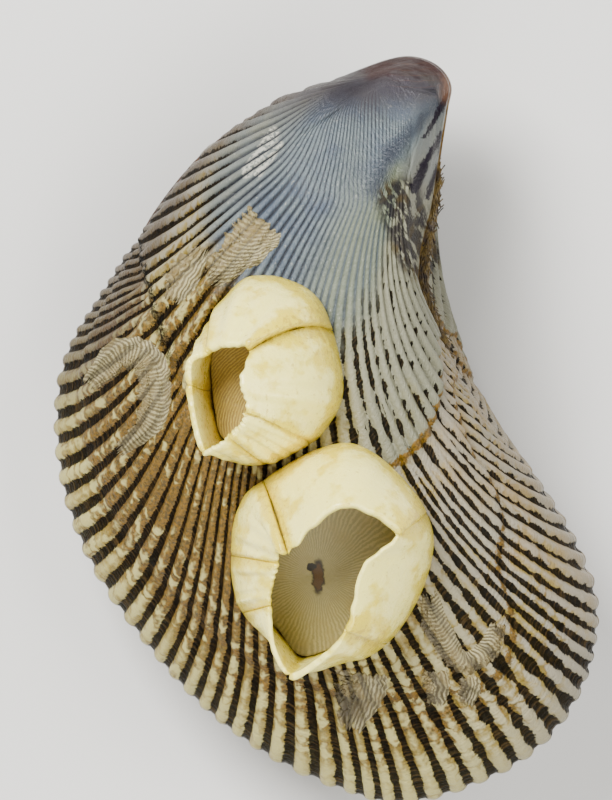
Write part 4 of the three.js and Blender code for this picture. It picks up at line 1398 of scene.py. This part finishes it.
def corrugation_tree():
    """A ridge at every whole stripe number, and rough ground between, raised straight up."""
    wiring, inputs = new_tree("crust ridges", CRUST_SIZES)
    stripe, weight = named(wiring, "stripe"), named(wiring, "raise")
    place = wiring.scaled(wiring.node("GeometryNodeInputPosition").outputs[0], 1 / MM)
    wave = wiring.math("COSINE", wiring.times(stripe, 2 * math.pi))
    ridge = wiring.math("POWER", wiring.add(wiring.times(wave, 0.5), 0.5), inputs["Sharpness"])
    rough = wiring.sway(wiring.noise(place, *CRUST_NOISE), inputs["Roughness"])
    lift = wiring.add(wiring.times(ridge, inputs["Ridge"]), rough)
    lift = wiring.times(lift, weight, MM)
    moved = wiring.node("GeometryNodeSetPosition", inputs["Mesh"])
    wiring.feed(moved.inputs["Offset"], wiring.vector(0.0, 0.0, lift))
    return close_tree(wiring, moved.outputs[0], inputs["Finish"])


crust_ridges = corrugation_tree()
print(crust_ridges.name, len(crust_ridges.nodes), "nodes")

# %% [markdown]
# Through each mouth the base of the barnacle shows: a thin floor of lime on the valve. It is a round slab
# from a polar grid. In the upper one the growth lines are rings round a point far to one side, and in the
# lower one fine striae run out from a slit in the middle.

# %% Barnacle bases
BASE_POINTS = 240
BASE_RINGS = 34
BASE_THICKNESS = 0.45
BASE_HOLLOW = 0.25
BASE_INSET = 0.95
BASE_LIFT = 0.3
BASE_FADE = (0.02, 0.2)
BASE_RIDGE = 0.015
UPPER_RING_CENTRE = np.array([-2.2, 0.2])
UPPER_RING_PITCH = 0.17
LOWER_SLIT = np.array([-0.5, -9.1])
LOWER_SPOT = (-0.95, -8.5)
LOWER_STRIAE = 90
SLIT_NARROW = 2.9
SPOT_REACH = 0.5


def build_base(name, rows, centre, stripe_of):
    """A thin floor inside a wall's foot, with a stripe number at every point."""
    t = np.linspace(0, len(rows), BASE_POINTS, endpoint=False)[::-1]
    foot = through_rows(lambda i: rows[np.mod(i, len(rows))], t)[:, :2]
    edge = centre + (foot - centre) * (1 - BASE_INSET / np.hypot(*(foot - centre).T))[:, None]
    shares = np.linspace(0, 1, BASE_RINGS)[1:]
    plan = centre + (edge - centre)[None] * shares[:, None, None]
    plan = np.vstack([plan.reshape(-1, 2), centre])
    share = np.append(np.repeat(shares, BASE_POINTS), 0)
    low = smooth_height(plan[:, 0], plan[:, 1]) + BASE_LIFT
    top = np.column_stack([plan, low + BASE_THICKNESS - BASE_HOLLOW * (1 - share ** 2)])
    bottom = np.column_stack([plan, low - SINK - BASE_LIFT])
    count = len(plan)
    rings = len(shares)
    up = grid_faces(BASE_POINTS, rings)
    up += [(count - 1, i, (i + 1) % BASE_POINTS) for i in range(BASE_POINTS)]
    down = [tuple(count + point for point in reversed(face)) for face in up]
    last = (rings - 1) * BASE_POINTS
    rim = [(last + i, last + (i + 1) % BASE_POINTS) for i in range(BASE_POINTS)]
    side = [(a, count + a, count + b, b) for a, b in rim]
    piece = new_object(name, np.vstack([top, bottom]), up + down + side)
    stripe = stripe_of(plan)
    point_values(piece.data, "stripe", np.append(stripe, 0 * stripe))
    point_values(piece.data, "raise", np.append(ease(share, *BASE_FADE), 0 * share))
    map_points(piece, np.column_stack([np.append(stripe, stripe), np.append(share, share)]))
    return piece


print("base points", BASE_POINTS * (BASE_RINGS - 1) + 1)

# %% [markdown]
# The finish of a floor draws a line on each ridge by the same stripe number. Noise bends the lines, so
# they don't look ruled. The lower floor also has the brown slit in its middle, with one dark spot.

# %% Floors in place
LIMES = {
    "olive floor": {"pale": "bfa548", "dark": "8a722f", "deep": "a48934", "bend": 1.5},
    "grey floor": {"pale": "958b60", "dark": "787049", "deep": "807448", "bend": 1.8},
    "old lime": {"pale": "aaa074", "dark": "605536", "deep": "6e5c30", "bend": 0.6, "fade": 0.5},
}
LIME_ROUGHNESS = 0.55
SLIT_COLOURS = {"edge": "1c140a", "inside": "402808", "spot": "080504"}


def floor_finish(name, pale, dark, deep, bend, fade=0.0):
    """Dull lime with a line on every ridge, worn to the deep colour in clouds and towards one side."""
    material, wiring, shader, place = start_finish(name)
    stripe, share = pattern_of(wiring)
    cloud = wiring.noise(place, 0.8, 3.0, 0.6)
    grain = wiring.noise(place, 5.0, 3.0, 0.6)
    bent = wiring.add(stripe, wiring.add(wiring.times(grain, 0.7), wiring.times(cloud, bend)))
    wave = wiring.math("COSINE", wiring.times(bent, 2 * math.pi))
    line = wiring.ease(wiring.add(wave, wiring.sway(grain, 2.0)), -0.6, 0.9)
    colour = wiring.mix(wiring.times(line, 0.8), hex_colour(dark), hex_colour(pale))
    worn = wiring.times(wiring.ease(cloud, 0.45, 0.7), 0.6)
    worn = wiring.add(worn, wiring.times(wiring.ease(share, 0.3, 1.0), fade))
    colour = wiring.mix(wiring.math("MINIMUM", worn, 1.0), colour, hex_colour(deep))
    wiring.feed(shader.inputs["Base Color"], colour)
    shader.inputs["Roughness"].default_value = LIME_ROUGHNESS
    add_bump(wiring, shader, wiring.add(line, grain), 0.3, 0.08)
    return material, wiring, shader, place, colour


def lower_floor_finish():
    """A grey floor with a brown slit in the middle and one dark spot beside it."""
    material, wiring, shader, place, colour = floor_finish("grey floor", **LIMES["grey floor"])
    x, y, _ = wiring.split(place)
    grain = wiring.noise(place, 3.0, 3.0)
    left = wiring.less(wiring.less(x, float(LOWER_SLIT[0])), wiring.sway(grain, 0.5))
    down = wiring.less(y, float(LOWER_SLIT[1]))
    narrow = wiring.math("POWER", wiring.times(left, SLIT_NARROW), 2.0)
    slit = wiring.math("SQRT", wiring.add(narrow, wiring.math("POWER", down, 2.0)))
    colour = wiring.mix(wiring.ease(slit, 1.3, 0.9), colour, hex_colour(SLIT_COLOURS["edge"]))
    colour = wiring.mix(wiring.ease(slit, 0.95, 0.7), colour, hex_colour(SLIT_COLOURS["inside"]))
    spot = patch(wiring, wiring.vector(x, y), LOWER_SPOT, LOWER_SPOT, SPOT_REACH)
    spot = wiring.ease(wiring.add(spot, wiring.less(grain, 0.5)), 0.3, 0.5)
    wiring.feed(shader.inputs["Base Color"], wiring.mix(spot, colour, hex_colour(SLIT_COLOURS["spot"])))
    return material


def upper_rings(plan):
    return np.hypot(*(plan - UPPER_RING_CENTRE).T) / UPPER_RING_PITCH


def lower_striae(plan):
    away = plan - LOWER_SLIT
    return np.arctan2(away[:, 1], away[:, 0]) / (2 * math.pi) * LOWER_STRIAE


upper_floor = floor_finish("olive floor", **LIMES["olive floor"])[0]
lower_floor = lower_floor_finish()
for node, rows, centre, stripes, finish in (
        ("upper_barnacle_base", UPPER_BARNACLE, UPPER_BARNACLE[:, :2].mean(0), upper_rings, upper_floor),
        ("lower_barnacle_base", LOWER_BARNACLE, LOWER_SLIT, lower_striae, lower_floor)):
    base = build_base(node + "_floor", rows, centre, stripes)
    hand_over(bake_tree(base, crust_ridges, finish, Ridge=BASE_RIDGE), node, finish)

# %% [markdown]
# Older barnacles have come away and left pieces of their bases on the valve: an arch, fans, a hoop and
# flakes of thin corrugated lime. Each is a band along a few given stations, laid over the ribs. One
# side and both ends are ragged. The lime is so thin that grooves under it show through, so every point
# also keeps the relief of the valve under it, and the finish darkens where that is low.

# %% Old bases
OLD_BASES = {
    "old_base_arch": [(-14.9, 2.7, 0.5), (-13.0, 4.8, 0.85), (-11.1, 4.5, 0.9), (-10.5, 2.4, 0.9),
                      (-11.0, 0.3, 0.7), (-13.1, -1.5, 0.3)],
    "old_base_fan": [(-3.5, 12.9, 1.1), (-4.7, 11.6, 1.3), (-7.3, 9.1, 0.6)],
    "old_base_small_fan": [(-7.5, 11.4, 0.4), (-8.8, 9.4, 0.9), (-9.6, 7.9, 0.4)],
    "old_base_posterior": [(2.5, -15.0, 1.35), (2.3, -16.4, 1.3), (1.5, -18.8, 0.6)],
    "old_base_hoop": [(6.3, -10.1, 0.55), (7.1, -12.5, 0.75), (8.4, -14.3, 0.6), (9.9, -13.7, 0.6),
                      (10.7, -11.9, 0.4)],
    "old_base_flake_1": [(6.9, -14.9, 0.6), (7.0, -16.0, 0.7), (6.9, -17.2, 0.4)],
    "old_base_flake_2": [(9.0, -15.3, 0.5), (9.0, -16.2, 0.6), (8.8, -17.2, 0.3)],
}
RIDGE_TURNS = {
    "old_base_fan": -45, "old_base_posterior": 90, "old_base_small_fan": 90, "old_base_flake_1": 80,
    "old_base_flake_2": 100}
RIDGE_BEND = 0.5
RIDGE_WAVER = 0.05
END_RAGGED = 0.16
CRUST_THICKNESS = 0.1
CRUST_RIDGE = 0.06
CRUST_END = (0, 0.12)
RIDGE_PITCH = 0.24
CRUST_ACROSS = 31
CRUST_STEP = 0.04
LOOK_AHEAD = 0.05
EDGE_WAVES = (8, 9)
EDGE_PACES = (3, 12)
LEFT_WAVER = 0.06
RIGHT_REACH = 1.2
RIGHT_WAVERS = (0.22, 0.1)
END_WAVES = (6, 7)
END_PACE = 4
FEWEST_STEPS = 20
CROWN_POWER = 4
RIDGE_POWER = 6
WAVER_PACES = (0.9, 0.8)


def crust_plan(rows, seed):
    """A ragged band along stations: its places in the plan, and how far along and across each lies."""
    last = len(rows) - 1
    span = np.hypot(*np.diff(rows[:, :2], axis=0).T).sum()
    t = np.linspace(0, last, max(FEWEST_STEPS, int(span / CRUST_STEP)))

    def at(position):
        return through_rows(lambda i: rows[i.clip(0, last)], position.clip(0, last))

    share = np.linspace(-1, 1, CRUST_ACROSS)
    starts, ends = (
        END_RAGGED * (1 + wander(share * END_PACE, seed + end, *END_WAVES)).clip(0, 2) for end in (3, 4))
    place_t = starts + (last - starts - ends) * (t / last)[:, None]
    middle = at(place_t.ravel())
    heading = (at(place_t.ravel() + LOOK_AHEAD) - at(place_t.ravel() - LOOK_AHEAD))[:, :2]
    side = np.column_stack([heading[:, 1], -heading[:, 0]]) / np.hypot(*heading.T)[:, None]
    middle, side = middle.reshape(*place_t.shape, 3), side.reshape(*place_t.shape, 2)
    left_edge = 1 + LEFT_WAVER * wander(t * EDGE_PACES[0], seed, *EDGE_WAVES)
    right_edge = RIGHT_REACH + sum(
        size * wander(t * pace, seed + number, *EDGE_WAVES)
        for number, (size, pace) in enumerate(zip(RIGHT_WAVERS, EDGE_PACES), 1))
    reach = np.where(share < 0, left_edge[:, None], right_edge[:, None]) * share * middle[..., 2]
    length = np.concatenate([[0], np.cumsum(np.hypot(*np.diff(at(t)[:, :2], axis=0).T))])
    plan = middle[..., :2] + side * reach[..., None]
    return plan, np.interp(place_t, t, length), share * middle[..., 2]


def ridge_stripes(length, across, turn, seed):
    """The stripe number of every point of a band, whose ridges are turned, bowed and a little wavy."""
    stripe = (length + RIDGE_BEND * across ** 2) * math.cos(turn) + across * math.sin(turn)
    waver = wander(length * WAVER_PACES[0], seed + 5) + wander(across * WAVER_PACES[1], seed + 6)
    return (stripe + RIDGE_WAVER * waver).ravel() / RIDGE_PITCH


def build_crust(name, rows, turn, seed):
    """A thin band of crust along stations, lying on the ribs, with a stripe number at every point."""
    plan, length, across = crust_plan(np.array(rows), seed)
    below = valve_height(plan[..., 0], plan[..., 1])
    last = len(rows) - 1
    t = np.linspace(0, last, len(plan))
    share = np.linspace(-1, 1, CRUST_ACROSS)
    ends_down = ease(t, *CRUST_END) * ease(last - t, *CRUST_END)
    crown = CRUST_THICKNESS * (1 - np.abs(share) ** CROWN_POWER) * ends_down[:, None]
    piece, place = slab(name, np.dstack([plan, below - SINK]), np.dstack([plan, below + crown]))
    stripe = ridge_stripes(length, across, math.radians(turn), seed)
    inside = np.tile(1 - np.abs(share) ** RIDGE_POWER, len(plan))
    relief = (below - smooth_height(plan[..., 0], plan[..., 1])).ravel()
    point_values(piece.data, "stripe", np.append(0 * stripe, stripe))
    point_values(piece.data, "raise", np.append(0 * inside, inside))
    point_values(piece.data, "relief", np.append(relief, relief))
    map_points(piece, np.column_stack([np.append(stripe, stripe), place[:, 1]]))
    return piece


print("old bases", len(OLD_BASES))

# %% [markdown]
# Old lime is duller than a fresh base and worn through in places. It starts from the finish of a floor,
# and the relief under each point says where a dark groove shows through.

# %% Old lime in place
FIRST_CRUST_SEED = 50
UNDER_LIME = "1a140c"


def old_lime_finish():
    """Worn lime so thin that the dark grooves under it show through, most on its worn side."""
    material, wiring, shader, place, colour = floor_finish("old lime", **LIMES["old lime"])
    share = pattern_of(wiring)[1]
    relief = wiring.node("ShaderNodeAttribute", attribute_name="relief").outputs["Fac"]
    grain = wiring.noise(place, 4.0, 3.0, 0.6)
    low = wiring.ease(wiring.add(relief, wiring.sway(grain, 0.12)), 0.13, 0.02)
    shows = wiring.times(low, wiring.ease(share, 0.0, 0.8, 0.2, 0.62))
    wiring.feed(shader.inputs["Base Color"], wiring.mix(shows, colour, hex_colour(UNDER_LIME)))
    return material


old_lime = old_lime_finish()
for seed, (node, rows) in enumerate(OLD_BASES.items(), FIRST_CRUST_SEED):
    crust = build_crust(node + "_crust", rows, RIDGE_TURNS.get(node, 0), seed)
    crust = bake_tree(crust, crust_ridges, old_lime, Ridge=CRUST_RIDGE)
    hand_over(crust, node, old_lime)

# %% [markdown]
# Two strips lie between the valves. The ligament is a dark horny band along the hinge. On the hollow side
# the remains of the byssus, the threads by which a mussel holds on, fill the gape with golden-brown
# fibres. A strip of rounded section makes the body of both.

# %% Ligament and byssus
STRIP_STEPS = 120
STRIP_SIDES = 14
STRIP_WAVER = 0.1
STRIP_ENDS = 0.02
STRIP_PACE = 14
STRIP_SEED = 3
STRIPS = {
    "hinge_ligament": {"span": LIGAMENT_SPAN, "inside": 0.6, "outside": 0.1, "half": 0.14},
    "byssus_remains": {"span": BYSSUS_SPAN, "inside": 0.5, "outside": 0.6, "half": 0.26},
}


def build_strip(name, span, inside, outside, half):
    """A strip along the outline between the valves, rounded at its edges and tapered at its ends."""
    t = np.linspace(*span, STRIP_STEPS)
    x, y = margin_at(t)[:, :2].T
    ahead = margin_at(t + LOOK_AHEAD)[:, :2] - margin_at(t - LOOK_AHEAD)[:, :2]
    outward = np.column_stack([ahead[:, 1], -ahead[:, 0]]) / np.hypot(*ahead.T)[:, None]
    turn = np.linspace(0, 2 * math.pi, STRIP_SIDES, endpoint=False)
    taper = np.sqrt(np.sin(np.pi * np.linspace(STRIP_ENDS, 1 - STRIP_ENDS, STRIP_STEPS)).clip(STRIP_ENDS))
    middle = (outside - inside) / 2
    reach = middle + (outside + inside) / 2 * np.cos(turn)[None] * taper[:, None]
    reach = reach * (1 + STRIP_WAVER * wander(t * STRIP_PACE, STRIP_SEED)[:, None])
    px = x[:, None] + outward[:, :1] * reach
    py = y[:, None] + outward[:, 1:] * reach
    pz = plane_at(px, py) + half * np.sin(turn)[None] * taper[:, None]
    grid = np.dstack([px, py, pz]).transpose(1, 0, 2)
    points = by_rows(grid)
    faces = [face[::-1] for face in grid_faces(STRIP_SIDES, STRIP_STEPS)]
    faces.append(tuple(range(STRIP_SIDES)))
    faces.append(tuple(range(len(points) - 1, len(points) - STRIP_SIDES - 1, -1)))
    return new_object(name, points, faces)


print("strips", list(STRIPS))

# %% [markdown]
# Fibres could be drawn as hair, but the export keeps only meshes. The fibres are meshes: Geometry Nodes
# scatter points on the strip and put a short bent thread on each, turned along the strip with a little
# stray. A fixed seed gives the same fibres each time. Both strips share a horny finish in clouds and
# specks.

# %% Ligament and fibres in place
FIBRE_SIZES = {"Fibres": 900.0, "Length": 1.1, "Thickness": 0.035, "Stray": 0.5, "Seed": 7}
FIBRE_STEPS = 4
FIBRE_SIDES = 4
FIBRE_BOW = (0.1, 0.16)
STRIP_AREA = 60.0
SPECK_SCALE = 3.2
SPECK_COLOUR = "15100a"


def horn_finish(name, dark, pale, scale):
    """A horny finish: two browns in clouds, with dark specks."""
    material, wiring, shader, place = start_finish(name)
    cloud = wiring.noise(place, scale, 4.0, 0.65)
    speck = wiring.noise(place, SPECK_SCALE * scale, 2.0, 0.6)
    colour = wiring.mix(wiring.ease(cloud, 0.35, 0.65), hex_colour(dark), hex_colour(pale))
    colour = wiring.mix(wiring.ease(speck, 0.6, 0.7), colour, hex_colour(SPECK_COLOUR))
    wiring.feed(shader.inputs["Base Color"], colour)
    shader.inputs["Roughness"].default_value = 0.5
    add_bump(wiring, shader, wiring.add(cloud, speck), 0.6, 0.1)
    return material


def fibre_tree():
    """Short bent threads, scattered over a strip and joined to it."""
    wiring, inputs = new_tree("byssus fibres", FIBRE_SIZES)
    scatter = wiring.node("GeometryNodeDistributePointsOnFaces", inputs["Mesh"])
    wiring.feed(scatter.inputs["Density"], wiring.math("DIVIDE", inputs["Fibres"], STRIP_AREA * MM * MM))
    wiring.feed(scatter.inputs["Seed"], inputs["Seed"])
    long = wiring.times(inputs["Length"], MM)
    bend = wiring.node("GeometryNodeCurveQuadraticBezier", FIBRE_STEPS)
    wiring.feed(bend.inputs["Start"], wiring.vector(wiring.times(long, -0.5)))
    bow = [wiring.times(long, share) for share in FIBRE_BOW]
    wiring.feed(bend.inputs["Middle"], wiring.vector(0.0, *bow))
    wiring.feed(bend.inputs["End"], wiring.vector(wiring.times(long, 0.5)))
    profile = wiring.node("GeometryNodeCurvePrimitiveCircle", FIBRE_SIDES)
    wiring.feed(profile.inputs["Radius"], wiring.times(inputs["Thickness"], MM))
    thread = wiring.node("GeometryNodeCurveToMesh", bend.outputs[0], profile.outputs[0])
    thread.inputs["Fill Caps"].default_value = True
    turn = wiring.node("FunctionNodeRandomValue", data_type="FLOAT")
    floats = [socket for socket in turn.inputs if socket.type == "VALUE" and socket.enabled]
    wiring.feed(floats[0], wiring.times(inputs["Stray"], -1.0))
    wiring.feed(floats[1], inputs["Stray"])
    wiring.feed(turn.inputs["Seed"], inputs["Seed"])
    stray = next(socket for socket in turn.outputs if socket.enabled)
    heading = named(wiring, "heading")
    placed = wiring.node("GeometryNodeInstanceOnPoints", scatter.outputs["Points"])
    wiring.feed(placed.inputs["Instance"], thread.outputs[0])
    wiring.feed(placed.inputs["Rotation"], wiring.vector(0.0, 0.0, wiring.add(heading, stray)))
    joined = wiring.node("GeometryNodeJoinGeometry")
    wiring.feed(joined.inputs[0], inputs["Mesh"])
    wiring.feed(joined.inputs[0], placed.outputs[0])
    return close_tree(wiring, joined.outputs[0], inputs["Finish"])


dark_horn = horn_finish("dark horn", dark="24160d", pale="4a2f1a", scale=1.2)
gold_fibre = horn_finish("gold fibre", dark="2c1c09", pale="6c561b", scale=1.5)
ligament = build_strip("hinge_ligament_strip", **STRIPS["hinge_ligament"])
hand_over(ligament, "hinge_ligament", dark_horn)
byssus = build_strip("byssus_fibres", **STRIPS["byssus_remains"])
strip_t = np.linspace(*BYSSUS_SPAN, STRIP_STEPS)
ahead = margin_at(strip_t + LOOK_AHEAD)[:, :2] - margin_at(strip_t)[:, :2]
point_values(byssus.data, "heading", np.repeat(np.arctan2(ahead[:, 1], ahead[:, 0]), STRIP_SIDES))
byssus = bake_tree(byssus, fibre_tree(), gold_fibre)
hand_over(byssus, "byssus_remains", gold_fibre)
